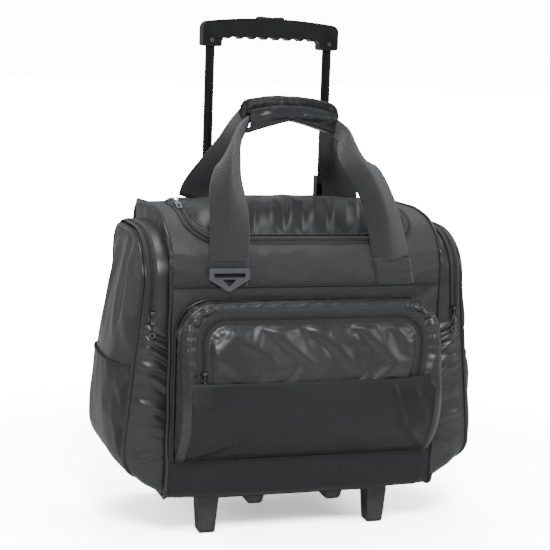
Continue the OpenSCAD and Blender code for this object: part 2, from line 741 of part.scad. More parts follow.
module skid_rails() color("#2f3033") place() both_sides() intersection() {
    translate([rail_x, 0, 0]) face(rail_y0, rail_y1, concat(
        [[rail_w / 2, plate_z0], [-rail_w / 2, plate_z0]],
        arc(-4, rail_z0 + 6, 6, 6, 190, 270, 5), arc(4, rail_z0 + 6, 6, 6, 270, 350, 5)));
    slab(0, body_w, concat([[rail_y1, plate_z0], [rail_y0, plate_z0]],
        arc(rail_y0 + 10, rail_z0 + 9, 9, 9, 200, 270, 5), arc(rail_y1 - 12, rail_z0 + 9, 9, 9, 270, 340, 5)));
}

// Housing that wraps the lower back corner of the bag, with the wheel well cut out
module wheel_housing(s) color("#2b2c2e") place() {
    x0 = wheel_x - wheel_w / 2 - wheel_gap;
    x1 = wheel_x + wheel_w / 2 + wheel_gap;
    on_side(s) difference() {
        slab(x0 - cheek_t, x1 + cheek_t, concat(
            [[184.5, body_base], [184.5, 48]], arc(wheel_y, wheel_r, 9, 9, 215, 325, 6),
            [[231, 46], [231, 100], [body_d, 104], [200, 104]]));
        slab(x0 - cheek_t - 1, x1 + cheek_t + 1, body_profile(0));
        translate([x0, wheel_y, wheel_r]) rotate([0, 90, 0]) cylinder(r = wheel_r + 1.5, h = x1 - x0);
        translate([x0 - 10, wheel_y, wheel_r]) rotate([0, 90, 0]) cylinder(r = axle_r, h = 60);
    }
}

module left_wheel_housing() wheel_housing(-1);

module right_wheel_housing() wheel_housing(1);

module wheel_axles() color("#9a9c9f") place() both_sides() {
    half = wheel_w / 2 + wheel_gap + cheek_t;
    translate([wheel_x - half, wheel_y, wheel_r]) rotate([0, 90, 0]) cylinder(r = axle_r, h = 2 * half);
    for (x = [wheel_x - half - 1.6, wheel_x + half])
        translate([x, wheel_y, wheel_r]) rotate([0, 90, 0]) cylinder(r = 5, h = 1.6);
}

module at_wheel(s) on_side(s) translate([wheel_x, wheel_y, wheel_r]) rotate([0, 90, 0]) children();

module tyre(s) color("#1b1b1c") place() at_wheel(s) rotate_extrude($fn = 64) polygon(concat(
    [[hub_r, wheel_w / 2 - 1], [hub_r, -wheel_w / 2 + 1]],
    arc(wheel_r - 4, -wheel_w / 2 + 4, 4, 4, 270, 360, 5), arc(wheel_r - 4, wheel_w / 2 - 4, 4, 4, 0, 90, 5)));

module left_tyre() tyre(-1);

module right_tyre() tyre(1);

module hub(s) color("#56585b") place() at_wheel(s) difference() {
    rotate_extrude($fn = 64) polygon([[axle_r + 0.05, -10.6], [7, -10.6], [8, -6], [16, -6], [17, -10], [hub_r, -10],
        [hub_r, 10], [17, 10], [16, 6], [8, 6], [7, 10.6], [axle_r + 0.05, 10.6]]);
    for (i = [0:4]) rotate(72 * i) translate([12, 0, -8]) cylinder(r = 2.6, h = 16);
}

module left_hub() hub(-1);

module right_hub() hub(1);

// ---- assembly ----

left_side_panel();
right_side_panel();
front_panel();
back_panel();
bottom_board();
top_panel();
divider_board();
body_piping();
front_pocket();
front_pocket_piping();
front_pocket_zip();
front_slip_pocket();
left_pocket();
right_pocket();
side_pocket_piping();
left_pocket_zip();
right_pocket_zip();
lid_zip();
base_plate();
left_foot();
right_foot();
skid_rails();
left_wheel_housing();
right_wheel_housing();
wheel_axles();
left_outer_tube();
right_outer_tube();
tube_bezel();
tube_bracket();
base_screws();
webbing_tabs();
front_webbing();
rear_webbing();
ring_loops();
left_tyre();
left_hub();
right_tyre();
right_hub();
left_middle_tube();
right_middle_tube();
middle_collars();
left_inner_tube();
right_inner_tube();
pull_grip();
grip_screws();
release_button();
push_rods();
grip_wrap();
lid_panel();
lid_sliders();
lid_pull_front();
lid_pull_rear();
front_slider();
front_pull();
left_slider();
left_pull();
right_slider();
right_pull();
front_ring();
rear_ring();
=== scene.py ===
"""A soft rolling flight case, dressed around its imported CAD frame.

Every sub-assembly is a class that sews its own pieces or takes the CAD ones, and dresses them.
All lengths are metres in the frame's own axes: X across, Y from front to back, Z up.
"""
import logging
import math
from dataclasses import dataclass, field
from enum import Enum
from typing import Callable, Optional, Sequence

import bmesh
import bpy
import numpy as np
from mathutils import Matrix, Vector, noise


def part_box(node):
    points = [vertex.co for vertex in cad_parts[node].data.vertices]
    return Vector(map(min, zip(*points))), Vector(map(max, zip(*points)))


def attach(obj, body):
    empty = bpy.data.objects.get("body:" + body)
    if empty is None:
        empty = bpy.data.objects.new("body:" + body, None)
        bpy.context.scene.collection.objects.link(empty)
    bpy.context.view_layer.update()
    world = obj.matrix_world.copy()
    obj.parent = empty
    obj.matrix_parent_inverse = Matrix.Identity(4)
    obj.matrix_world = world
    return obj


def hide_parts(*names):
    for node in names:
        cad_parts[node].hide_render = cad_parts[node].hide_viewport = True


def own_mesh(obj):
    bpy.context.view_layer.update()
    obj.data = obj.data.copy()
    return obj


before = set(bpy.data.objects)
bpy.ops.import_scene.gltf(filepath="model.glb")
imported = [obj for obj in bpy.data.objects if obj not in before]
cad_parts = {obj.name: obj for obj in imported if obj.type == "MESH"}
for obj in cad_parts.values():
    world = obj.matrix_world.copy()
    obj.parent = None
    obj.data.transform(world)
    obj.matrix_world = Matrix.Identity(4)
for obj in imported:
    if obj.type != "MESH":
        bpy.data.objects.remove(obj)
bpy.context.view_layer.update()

LOG = logging.getLogger("flight_case")
Array = np.ndarray


# ---------------------------------------------------------------- layout

@dataclass(frozen=True)
class Layout:
    """The case's main planes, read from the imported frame.

    Args:
        half: distance of each side seam from the middle.
        front: plane of the front panel.
        back: plane of the back panel.
        base: height of the bag's underside.
        top: height of the bag's top.
        shoulder: height where the front starts to round back.
        seam: height of the seam across the front, where the straps are sewn in.
    """

    half: float
    front: float
    back: float
    base: float
    top: float
    shoulder: float
    seam: float
    shoulder_depth: float = 0.120

    @classmethod
    def read(cls) -> "Layout":
        """Take the planes from the boxes of the panels that define them."""
        side_low, side_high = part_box("right_side_panel")
        return cls(half=side_high.x, front=side_low.y, back=side_high.y, base=side_low.z, top=side_high.z,
                   shoulder=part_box("top_panel")[0].z, seam=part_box("webbing_tabs")[0].z)

    def height(self, y: Array) -> Array:
        """Height of the bag's skin over points y on the shoulder and top."""
        inside = np.clip((self.front + self.shoulder_depth - y) / self.shoulder_depth, 0, 1)
        return self.shoulder + (self.top - self.shoulder) * np.sqrt(np.clip(1 - inside ** 2, 0, 1))


LAYOUT = Layout.read()


# ---------------------------------------------------------------- geometry helpers

def unit(vectors: Array) -> Array:
    """Vectors scaled to length one along the last axis."""
    return vectors / np.maximum(np.linalg.norm(vectors, axis=-1, keepdims=True), 1e-12)


def arc(centre: tuple[float, float], radii: tuple[float, float], start: float, end: float,
        count: int) -> Array:
    """Points on an elliptical arc, with angles in degrees."""
    angle = np.radians(np.linspace(start, end, count))
    return np.stack([centre[0] + radii[0] * np.cos(angle), centre[1] + radii[1] * np.sin(angle)], axis=1)


def resample(points: Array, count: int, closed: bool = False) -> Array:
    """Points spread evenly by length along a path.

    Args:
        points: the path's own points.
        count: how many points to return.
        closed: whether the path ends where it starts.

    Returns:
        An array of count points.
    """
    path = np.asarray(points, float)
    if closed:
        path = np.vstack([path, path[:1]])
    run = np.concatenate([[0.0], np.cumsum(np.linalg.norm(np.diff(path, axis=0), axis=1))])
    at = np.linspace(0, run[-1], count + 1)[:-1] if closed else np.linspace(0, run[-1], count)
    return np.stack([np.interp(at, run, path[:, k]) for k in range(path.shape[1])], axis=1)


def smooth_path(points: Sequence[Sequence[float]], count: int) -> Array:
    """Catmull-Rom curve through the given points, spread evenly by length."""
    p = np.asarray(points, float)
    p = np.vstack([2 * p[0] - p[1], p, 2 * p[-1] - p[-2]])
    t = np.linspace(0, 1, 16, endpoint=False)[:, None]
    pieces = []
    for a, b, c, d in zip(p[:-3], p[1:-2], p[2:-1], p[3:]):
        pieces.append(0.5 * (2 * b + (c - a) * t + (2 * a - 5 * b + 4 * c - d) * t ** 2
                             + (3 * b - a - 3 * c + d) * t ** 3))
    return resample(np.vstack(pieces + [p[-2:-1]]), count)


def side_outline(y0: float, y1: float, z0: float, z1: float, shoulder: tuple[float, float],
                 top_r: float, low_r: float, count: int) -> Array:
    """Side outline of a bag part, counter-clockwise in (y, z) from the foot of its front.

    Args:
        y0: front. y1: back. z0: bottom. z1: top.
        shoulder: depth and height of the rounded front shoulder.
        top_r: radius of the upper back corner.
        low_r: radius of the two lower corners.
        count: number of points returned.

    Returns:
        An array of (y, z) points.
    """
    deep, high = shoulder
    points = np.vstack([
        arc((y0 + low_r, z0 + low_r), (low_r, low_r), 180, 270, 10),
        arc((y1 - low_r, z0 + low_r), (low_r, low_r), 270, 360, 10),
        arc((y1 - top_r, z1 - top_r), (top_r, top_r), 0, 90, 12),
        arc((y0 + deep, z1 - high), (deep, high), 90, 180, 40)])
    return resample(points, count, closed=True)


def spans(outline: Array, rows: int) -> tuple[Array, Array, Array]:
    """Cut a convex outline into level rows.

    Args:
        outline: closed outline of (across, up) points.
        rows: number of rows.

    Returns:
        The height of each row, and where the row starts and ends.
    """
    low, high = outline[:, 1].min(), outline[:, 1].max()
    t = np.linspace(0, 1, rows)
    t = 0.5 * t + 0.5 * (1 - np.cos(np.pi * t)) / 2
    level = low + (high - low) * (1e-5 + t * (1 - 2e-5))
    ends = np.vstack([outline[1:], outline[:1]])
    starts, stops = [], []
    for z in level:
        crossing = (outline[:, 1] - z) * (ends[:, 1] - z) <= 0
        a, b = outline[crossing], ends[crossing]
        rise = np.where(np.abs(b[:, 1] - a[:, 1]) < 1e-12, 1e-12, b[:, 1] - a[:, 1])
        across = a[:, 0] + (b[:, 0] - a[:, 0]) * np.clip((z - a[:, 1]) / rise, 0, 1)
        starts.append(across.min())
        stops.append(across.max())
    return level, np.array(starts), np.array(stops)


def ripple(points: Array, scale: Sequence[float], seed: float) -> Array:
    """Smooth repeatable noise between about -1 and 1 at each point, stretched by scale."""
    flat = points.reshape(-1, 3) * np.asarray(scale)
    values = [noise.fractal(Vector((p[0] + seed, p[1], p[2])), 0.6, 2.1, 3) for p in flat]
    return np.array(values).reshape(points.shape[:-1])


def fold(across: Array, up: Array, start: tuple[float, float], end: tuple[float, float],
         width: float, height: float) -> Array:
    """A soft ridge, or a hollow if height is negative, laid along a line on a panel.

    Args:
        across: first panel coordinate of each point.
        up: second panel coordinate of each point.
        start: where the ridge starts. end: where it ends.
        width: how far it spreads to either side.
        height: how far it stands out.

    Returns:
        How far each point moves out.
    """
    a, b = np.array(start), np.array(end)
    along = b - a
    t = ((across - a[0]) * along[0] + (up - a[1]) * along[1]) / (along @ along)
    near = np.clip(t, 0, 1)
    gap = np.hypot(across - a[0] - near * along[0], up - a[1] - near * along[1])
    fade = np.clip(1 - np.abs(2 * t - 1) ** 4, 0.0, 1.0)
    return height * np.exp(-(gap / width) ** 2) * (0.35 + 0.65 * fade)


def make_mesh(name: str, vertices: Array, faces: Sequence[Sequence[int]]) -> bpy.types.Object:
    """A smooth mesh object, linked to the scene, with its faces wound as given."""
    mesh = bpy.data.meshes.new(name)
    mesh.from_pydata([tuple(v) for v in np.asarray(vertices, float)], [], [tuple(f) for f in faces])
    mesh.validate()
    mesh.shade_smooth()
    piece = bpy.data.objects.new(name, mesh)
    bpy.context.scene.collection.objects.link(piece)
    return piece


def grid_faces(rows: int, columns: int, wrap: bool = False,
               offset: int = 0) -> list[tuple[int, int, int, int]]:
    """Quads of a grid stored row by row, with its last column joined to its first when wrap is set."""
    last = columns if wrap else columns - 1
    return [(offset + i * columns + j, offset + i * columns + (j + 1) % columns,
             offset + (i + 1) * columns + (j + 1) % columns, offset + (i + 1) * columns + j)
            for i in range(rows - 1) for j in range(last)]


def grid_piece(name: str, points: Array, wrap: bool = False,
               keep: Optional[Callable[[Array], Array]] = None, flip: bool = False) -> bpy.types.Object:
    """A mesh from a grid of points.

    Args:
        name: the piece's name.
        points: rows by columns by 3.
        wrap: whether the last column joins the first.
        keep: given the faces' centres, says which faces stay.
        flip: whether to turn the faces over.

    Returns:
        The new object.
    """
    rows, columns = points.shape[:2]
    faces = np.array(grid_faces(rows, columns, wrap))
    flat = points.reshape(-1, 3)
    if keep is not None:
        faces = faces[keep(flat[faces].mean(axis=1))]
    if flip:
        faces = faces[:, ::-1]
    used = np.unique(faces)
    index = np.full(len(flat), -1)
    index[used] = np.arange(len(used))
    return make_mesh(name, flat[used], index[faces].tolist())


def frames_along(path: Array, closed: bool, normal: Array) -> tuple[Array, Array]:
    """Side and up directions along a path, kept close to a given normal."""
    ahead = np.roll(path, -1, axis=0)
    back = np.roll(path, 1, axis=0)
    if not closed:
        ahead[-1], back[0] = path[-1], path[0]
    way = unit(ahead - back)
    side = unit(np.cross(way, np.broadcast_to(normal, way.shape)))
    return side, unit(np.cross(side, way))


def sweep(name: str, path: Array, normal: Array, section: Array, closed: bool = False) -> bpy.types.Object:
    """A skin swept along a path.

    Args:
        name: the piece's name.
        path: points of the path.
        normal: the up direction, one for all points or one each.
        section: closed outline of (side, up) points, or one outline for each point of the path.
        closed: whether the path is a ring.

    Returns:
        The new object, capped at both ends when the path is open.
    """
    side, up = frames_along(path, closed, np.asarray(normal, float))
    outline = np.broadcast_to(np.asarray(section, float), (len(path),) + np.shape(section)[-2:])
    rings = path[:, None] + outline[..., :1] * side[:, None] + outline[..., 1:] * up[:, None]
    count = rings.shape[1]
    if closed:
        rings = np.concatenate([rings, rings[:1]])
    faces: list[Sequence[int]] = list(grid_faces(len(rings), count, wrap=True))
    if closed:
        total = (len(rings) - 1) * count
        faces = [tuple(v % total for v in face) for face in faces]
        return make_mesh(name, rings[:-1].reshape(-1, 3), faces)
    faces += [tuple(range(count - 1, -1, -1)), tuple(range((len(rings) - 1) * count, len(rings) * count))]
    return make_mesh(name, rings.reshape(-1, 3), faces)


def round_section(radius: float, count: int = 10, flat: float = 1.0) -> Array:
    """Round or flattened section of a cord."""
    angle = np.linspace(0, 2 * np.pi, count, endpoint=False)
    return np.stack([radius * np.cos(angle), radius * flat * np.sin(angle)], axis=1)


def tape_section(half: float, thick: float) -> Array:
    """Section of flat tape lying on a surface, with softened edges."""
    return np.array([[-half, 0], [-half, -thick * 0.6], [-half * 0.94, -thick], [half * 0.94, -thick],
                     [half, -thick * 0.6], [half, 0],
                      [half * 0.94, thick * 0.4], [-half * 0.94, thick * 0.4]])[::-1] * [1, -1]


def blocks_along(name: str, path: Array, normal: Array, pitch: float, size: tuple[float, float, float],
                 lift: float = 0.0, stagger: float = 0.0) -> bpy.types.Object:
    """Small rounded blocks in a row, such as zip teeth or stitches.

    Args:
        name: the piece's name.
        path: the line they follow.
        normal: up direction, one for all points or one each.
        pitch: distance from block to block.
        size: length along the path, width across it and height.
        lift: height of the blocks' middle above the path.
        stagger: how far every second block moves to one side.

    Returns:
        One object that holds every block.
    """
    length = np.linalg.norm(np.diff(path, axis=0), axis=1).sum()
    count = max(2, int(length / pitch))
    spots = resample(path, count)
    ups = np.broadcast_to(np.asarray(normal, float), path.shape)
    ups = unit(resample(np.hstack([path, ups]), count)[:, 3:])
    side, up = frames_along(spots, False, ups)
    way = np.cross(up, side)
    ends = (-1, 1)
    shape = np.array([(x, y, z * (0.6 if z > 0 else 1)) for x in ends for y in ends for z in ends]) / 2
    shape[:, :2] *= np.where(shape[:, 2:] > 0, 0.72, 1.0)
    sway = np.where(np.arange(count) % 2 == 0, stagger, -stagger)[:, None]
    middle = spots + up * lift + side * sway
    corners = (middle[:, None] + shape[None, :, :1] * size[0] * way[:, None]
               + shape[None, :, 1:2] * size[1] * side[:, None] + shape[None, :, 2:] * size[2] * up[:, None])
    quads = [(0, 1, 3, 2), (4, 6, 7, 5), (0, 4, 5, 1), (2, 3, 7, 6), (0, 2, 6, 4), (1, 5, 7, 3)]
    faces = [tuple(8 * i + v for v in quad) for i in range(count) for quad in quads]
    return make_mesh(name, corners.reshape(-1, 3), faces)


def join(name: str, pieces: Sequence[bpy.types.Object]) -> bpy.types.Object:
    """Several meshes made into one object, with their materials kept."""
    bpy.ops.object.select_all(action="DESELECT")
    for piece in pieces:
        piece.select_set(True)
    bpy.context.view_layer.objects.active = pieces[0]
    bpy.ops.object.join()
    pieces[0].name = name
    return pieces[0]


def apply_modifiers(piece: bpy.types.Object) -> None:
    """Make a piece's modifiers part of its mesh."""
    graph = bpy.context.evaluated_depsgraph_get()
    mesh = bpy.data.meshes.new_from_object(piece.evaluated_get(graph))
    piece.modifiers.clear()
    piece.data = mesh


def thicken(piece: bpy.types.Object, thickness: float, smooth: int = 0, offset: float = -1.0) -> None:
    """Give a sheet its thickness, after smoothing it by subdivision."""
    if smooth:
        subdivision = piece.modifiers.new("smooth", "SUBSURF")
        subdivision.levels = subdivision.render_levels = smooth
    solid = piece.modifiers.new("thickness", "SOLIDIFY")
    solid.thickness, solid.offset = thickness, offset
    apply_modifiers(piece)


def soften_edges(piece: bpy.types.Object, width: float, segments: int = 3, angle: float = 35.0) -> None:
    """Round a moulded or machined piece's edges with a bevel."""
    bevel = piece.modifiers.new("soft_edges", "BEVEL")
    bevel.width, bevel.segments = width, segments
    bevel.limit_method, bevel.angle_limit = "ANGLE", math.radians(angle)
    bevel.harden_normals = True


# ---------------------------------------------------------------- cloth

@dataclass(frozen=True)
class ClothRecipe:
    """How a sewn panel is filled and let go slack.

    Args:
        pressure: air pressed against its inside.
        slack: share of spare cloth, which makes the folds.
        bending: stiffness against folding.
        cap: the furthest any point may move.
        frames: how long it settles.
    """

    pressure: float = 0.6
    slack: float = 0.03
    bending: float = 2.0
    cap: float = 0.012
    frames: int = 16

    def settle(self, piece: bpy.types.Object, held: Array) -> None:
        """Run the cloth with the held points fixed, and keep its result as the mesh.

        Args:
            piece: a sheet with no modifiers.
            held: how firmly each vertex is held, from 0 to 1.
        """
        before = np.array([v.co for v in piece.data.vertices])
        group = piece.vertex_groups.new(name="held")
        for weight in np.unique(np.round(held, 2)):
            group.add(np.flatnonzero(np.round(held, 2) == weight).tolist(), float(weight), "REPLACE")
        cloth = piece.modifiers.new("cloth", "CLOTH")
        cloth.settings.quality = 4
        cloth.settings.mass = 0.12
        cloth.settings.tension_stiffness = cloth.settings.compression_stiffness = 12
        cloth.settings.shear_stiffness = 6
        cloth.settings.bending_stiffness = self.bending
        cloth.settings.air_damping = 4
        cloth.settings.vertex_group_mass = "held"
        cloth.settings.shrink_min = -self.slack
        cloth.settings.use_pressure = True
        cloth.settings.uniform_pressure_force = self.pressure
        cloth.settings.effector_weights.gravity = 0
        cloth.collision_settings.use_collision = False
        cloth.point_cache.frame_start, cloth.point_cache.frame_end = 1, self.frames
        for frame_number in range(1, self.frames + 1):
            bpy.context.scene.frame_set(frame_number)
        shown = piece.evaluated_get(bpy.context.evaluated_depsgraph_get())
        after = np.array([v.co for v in shown.data.vertices])
        piece.modifiers.clear()
        piece.vertex_groups.clear()
        bpy.context.scene.frame_set(1)
        step = after - before
        far = np.linalg.norm(step, axis=1, keepdims=True)
        step *= np.minimum(1, self.cap / np.maximum(far, 1e-9))
        step[~np.isfinite(step).all(axis=1)] = 0
        piece.data.vertices.foreach_set("co", (before + step).ravel())
        piece.data.update()


# ---------------------------------------------------------------- materials

class Graph:
    """A small writer of shader nodes in one tree."""

    def __init__(self, tree: bpy.types.NodeTree) -> None:
        """Start writing in a tree."""
        self.tree = tree

    def add(self, kind: str, inputs: Optional[dict] = None, **settings: object) -> bpy.types.Node:
        """Add a node, set its properties, and set or link its inputs."""
        node = self.tree.nodes.new(kind)
        for name, value in settings.items():
            setattr(node, name, value)
        for name, value in (inputs or {}).items():
            if isinstance(value, bpy.types.NodeSocket):
                self.tree.links.new(value, node.inputs[name])
            else:
                node.inputs[name].default_value = value
        return node

    def math(self, operation: str, *values: object) -> bpy.types.NodeSocket:
        """A Math node over sockets or numbers."""
        return self.add("ShaderNodeMath", dict(enumerate(values)), operation=operation).outputs[0]

    def spread(self, value: bpy.types.NodeSocket, low: float, high: float, to_low: float,
               to_high: float) -> bpy.types.NodeSocket:
        """A value carried from one range to another."""
        return self.add("ShaderNodeMapRange", {"Value": value, "From Min": low, "From Max": high,
                                               "To Min": to_low, "To Max": to_high}).outputs[0]

    def tint(self, mask: object, first: object, second: object) -> bpy.types.NodeSocket:
        """Two colours mixed by a mask."""
        node = self.add("ShaderNodeMix", data_type="RGBA")
        for index, value in ((0, mask), (6, first), (7, second)):
            if isinstance(value, bpy.types.NodeSocket):
                self.tree.links.new(value, node.inputs[index])
            else:
                node.inputs[index].default_value = value
        return node.outputs[2]


def new_group(name: str, inputs: dict[str, tuple[str, object]],
              outputs: dict[str, str]) -> tuple[Graph, bpy.types.Node, bpy.types.Node]:
    """Start a shader node group with named sockets.

    Args:
        name: the group's name.
        inputs: each input's socket type and default.
        outputs: each output's socket type.

    Returns:
        A graph writer, the group's input node and its output node.
    """
    tree = bpy.data.node_groups.new(name, "ShaderNodeTree")
    for label, (kind, default) in inputs.items():
        tree.interface.new_socket(label, in_out="INPUT", socket_type=kind).default_value = default
    for label, kind in outputs.items():
        tree.interface.new_socket(label, in_out="OUTPUT", socket_type=kind)
    graph = Graph(tree)
    return graph, graph.add("NodeGroupInput"), graph.add("NodeGroupOutput")


class Effects:
    """The shader node groups that several finishes share."""

    def __init__(self) -> None:
        """Build every group once."""
        self.threads = self._threads()
        self.variation = self._variation()
        self.wear = self._wear()

    @staticmethod
    def _threads() -> bpy.types.NodeTree:
        """Woven relief: diagonal twill lines mixed with a plain over-and-under weave, with a Shade output
        that is painted shade in the grooves between threads and painted highlight on their tops.
        """
        graph, given, out = new_group(
            "woven_threads", {"Pitch": ("NodeSocketFloat", 0.001), "Plain": ("NodeSocketFloat", 0.0)},
            {"Height": "NodeSocketFloat", "Shade": "NodeSocketFloat"})
        place = graph.add("ShaderNodeTexCoord").outputs["Object"]
        axes = graph.add("ShaderNodeSeparateXYZ", {0: place})
        turn = graph.math("DIVIDE", 2 * math.pi, given.outputs["Pitch"])
        x, y, z = (graph.math("MULTIPLY", axes.outputs[k], turn) for k in range(3))
        diagonal = graph.math("SINE", graph.math("ADD", graph.math("ADD", x, y), z))
        weft = graph.math("SINE", graph.math("ADD", x, y))
        warp = graph.math("SINE", graph.math("ADD", z, graph.math("MULTIPLY", y, 0.5)))
        plain = graph.math("MULTIPLY", weft, warp)
        mixed = graph.add("ShaderNodeMix", {0: given.outputs["Plain"], 2: diagonal, 3: plain},
                          data_type="FLOAT")
        graph.tree.links.new(graph.spread(mixed.outputs[0], -1, 1, 0, 1), out.inputs["Height"])
        # Shade: painted shade in the thread grooves and painted highlight on the thread tops.
        graph.tree.links.new(graph.spread(mixed.outputs[0], -1, 1, 0.72, 1.12), out.inputs["Shade"])
        return graph.tree

    @staticmethod
    def _variation() -> bpy.types.NodeTree:
        """Slow change of colour and gloss over a surface, with fine crinkles as a height."""
        graph, given, out = new_group(
            "cloth_variation",
            {"Color": ("NodeSocketColor", (0.5, 0.5, 0.5, 1)), "Amount": ("NodeSocketFloat", 0.2),
             "Roughness": ("NodeSocketFloat", 0.5), "Crinkle Scale": ("NodeSocketFloat", 60.0)},
            {"Color": "NodeSocketColor", "Roughness": "NodeSocketFloat", "Crinkle": "NodeSocketFloat"})
        place = graph.add("ShaderNodeTexCoord").outputs["Object"]
        slow = graph.add("ShaderNodeTexNoise", {"Vector": place, "Scale": 9.0, "Detail": 4.0}).outputs[0]
        fine = graph.add("ShaderNodeTexNoise", {"Vector": place, "Scale": given.outputs["Crinkle Scale"],
                                                "Detail": 5.0, "Distortion": 0.6}).outputs[0]
        swing = graph.math("MULTIPLY", graph.spread(slow, 0.3, 0.7, -1, 1), given.outputs["Amount"])
        gain = graph.math("ADD", 1.0, swing)
        scaled = graph.add("ShaderNodeVectorMath", {0: given.outputs["Color"], 1: gain}, operation="MULTIPLY")
        graph.tree.links.new(scaled.outputs[0], out.inputs["Color"])
        rough = graph.math("ADD", given.outputs["Roughness"], graph.math("MULTIPLY", swing, 0.25))
        graph.tree.links.new(rough, out.inputs["Roughness"])
        graph.tree.links.new(fine, out.inputs["Crinkle"])
        return graph.tree

    @staticmethod
    def _wear() -> bpy.types.NodeTree:
        """Rubbed, lighter edges broken up by scuffs."""
        graph, given, out = new_group(
            "rubbed_edges",
            {"Color": ("NodeSocketColor", (0.1, 0.1, 0.1, 1)),
             "Rubbed": ("NodeSocketColor", (0.2, 0.2, 0.2, 1)),
             "Amount": ("NodeSocketFloat", 0.5)},
            {"Color": "NodeSocketColor", "Grain": "NodeSocketFloat", "Mask": "NodeSocketFloat"})
        place = graph.add("ShaderNodeTexCoord").outputs["Object"]
        edge = graph.spread(graph.add("ShaderNodeNewGeometry").outputs["Pointiness"], 0.52, 0.62, 0, 1)
        scuff = graph.add("ShaderNodeTexNoise", {"Vector": place, "Scale": 45.0, "Detail": 6.0}).outputs[0]
        grain = graph.add("ShaderNodeTexNoise", {"Vector": place, "Scale": 1400.0, "Detail": 2.0}).outputs[0]
        mask = graph.math("MULTIPLY", graph.math("MULTIPLY", edge, scuff), given.outputs["Amount"])
        tinted = graph.tint(mask, given.outputs["Color"], given.outputs["Rubbed"])
        graph.tree.links.new(tinted, out.inputs["Color"])
        graph.tree.links.new(grain, out.inputs["Grain"])
        graph.tree.links.new(mask, out.inputs["Mask"])
        return graph.tree


class Weave(Enum):
    """How a cloth's threads lie: share of plain weave, thread pitch and relief."""

    TWILL = (0.0, 0.0011, 0.30)
    SATIN = (0.3, 0.0006, 0.10)
    WEBBING = (1.0, 0.0021, 0.85)
    TAPE = (1.0, 0.0010, 0.50)
    LINING = (1.0, 0.0008, 0.35)


@dataclass(frozen=True)
class ClothFinish:
    """A woven and coated cloth.

    Args:
        name: material name.
        color: its colour before variation.
        weave: how its threads lie.
        roughness: how dull its coat is.
        sheen: strength of the soft light at its edges.
        crinkle: depth of its small creases, in metres.
        crinkle_scale: how close together those creases lie.
        specular: strength of its plain reflection.
    """

    name: str
    color: tuple[float, float, float]
    weave: Weave
    roughness: float
    sheen: float = 0.2
    crinkle: float = 0.0006
    crinkle_scale: float = 60.0
    specular: float = 0.5

    def material(self, effects: Effects) -> bpy.types.Material:
        """Write the material's nodes."""
        material = bpy.data.materials.new(self.name)
        material.use_nodes = True
        graph = Graph(material.node_tree)
        shader = material.node_tree.nodes["Principled BSDF"]
        plain, pitch, relief = self.weave.value
        varied = graph.add("ShaderNodeGroup", node_tree=effects.variation)
        varied.inputs["Color"].default_value = (*self.color, 1)
        varied.inputs["Amount"].default_value = 0.18
        varied.inputs["Roughness"].default_value = self.roughness
        varied.inputs["Crinkle Scale"].default_value = self.crinkle_scale
        threads = graph.add("ShaderNodeGroup", node_tree=effects.threads)
        threads.inputs["Pitch"].default_value = pitch
        threads.inputs["Plain"].default_value = plain
        # The base colour is scaled by the weave's Shade: painted shade in the thread grooves and painted
        # highlight on the thread tops.
        shade = graph.spread(threads.outputs["Shade"], 0.72, 1.12, 1 - 0.4 * relief, 1 + 0.25 * relief)
        shaded = graph.add("ShaderNodeVectorMath", {0: varied.outputs["Color"], 1: shade},
                           operation="MULTIPLY")
        woven = graph.add("ShaderNodeBump", {"Height": threads.outputs["Height"], "Strength": relief,
                                             "Distance": pitch * 0.5})
        creased = graph.add("ShaderNodeBump", {"Height": varied.outputs["Crinkle"], "Strength": 0.6,
                                               "Distance": self.crinkle * 4, "Normal": woven.outputs[0]})
        links = material.node_tree.links
        links.new(shaded.outputs[0], shader.inputs["Base Color"])
        links.new(varied.outputs["Roughness"], shader.inputs["Roughness"])
        links.new(creased.outputs[0], shader.inputs["Normal"])
        shader.inputs["Specular IOR Level"].default_value = self.specular
        shader.inputs["Sheen Weight"].default_value = self.sheen
        shader.inputs["Sheen Roughness"].default_value = 0.5
        return material


@dataclass(frozen=True)
class HardFinish:
    """Moulded plastic, rubber, paint or metal.

    Args:
        name: material name.
        color: its colour.
        rubbed: its colour where edges are rubbed.
        roughness: how dull it is.
        metallic: 1 for bare metal.
        wear: how rubbed its edges are.
        grain: depth of its moulded grain, in metres.
        coat: weight of a clear coat.
        specular: strength of its plain reflection.
    """

    name: str
    color: tuple[float, float, float]
    rubbed: tuple[float, float, float]
    roughness: float
    metallic: float = 0.0
    wear: float = 0.5
    grain: float = 0.00004
    coat: float = 0.0
    specular: float = 0.5

    def material(self, effects: Effects) -> bpy.types.Material:
        """Write the material's nodes."""
        material = bpy.data.materials.new(self.name)
        material.use_nodes = True
        graph = Graph(material.node_tree)
        shader = material.node_tree.nodes["Principled BSDF"]
        worn = graph.add("ShaderNodeGroup", node_tree=effects.wear)
        worn.inputs["Color"].default_value = (*self.color, 1)
        worn.inputs["Rubbed"].default_value = (*self.rubbed, 1)
        worn.inputs["Amount"].default_value = self.wear
        rough = graph.spread(worn.outputs["Grain"], 0.3, 0.7, self.roughness - 0.05, self.roughness + 0.08)
        bump = graph.add("ShaderNodeBump", {"Height": worn.outputs["Grain"], "Strength": 0.5,
                                            "Distance": self.grain * 4})
        links = material.node_tree.links
        links.new(worn.outputs["Color"], shader.inputs["Base Color"])
        links.new(rough, shader.inputs["Roughness"])
        links.new(bump.outputs[0], shader.inputs["Normal"])
        shader.inputs["Metallic"].default_value = self.metallic
        shader.inputs["Coat Weight"].default_value = self.coat
        shader.inputs["Specular IOR Level"].default_value = self.specular
        return material


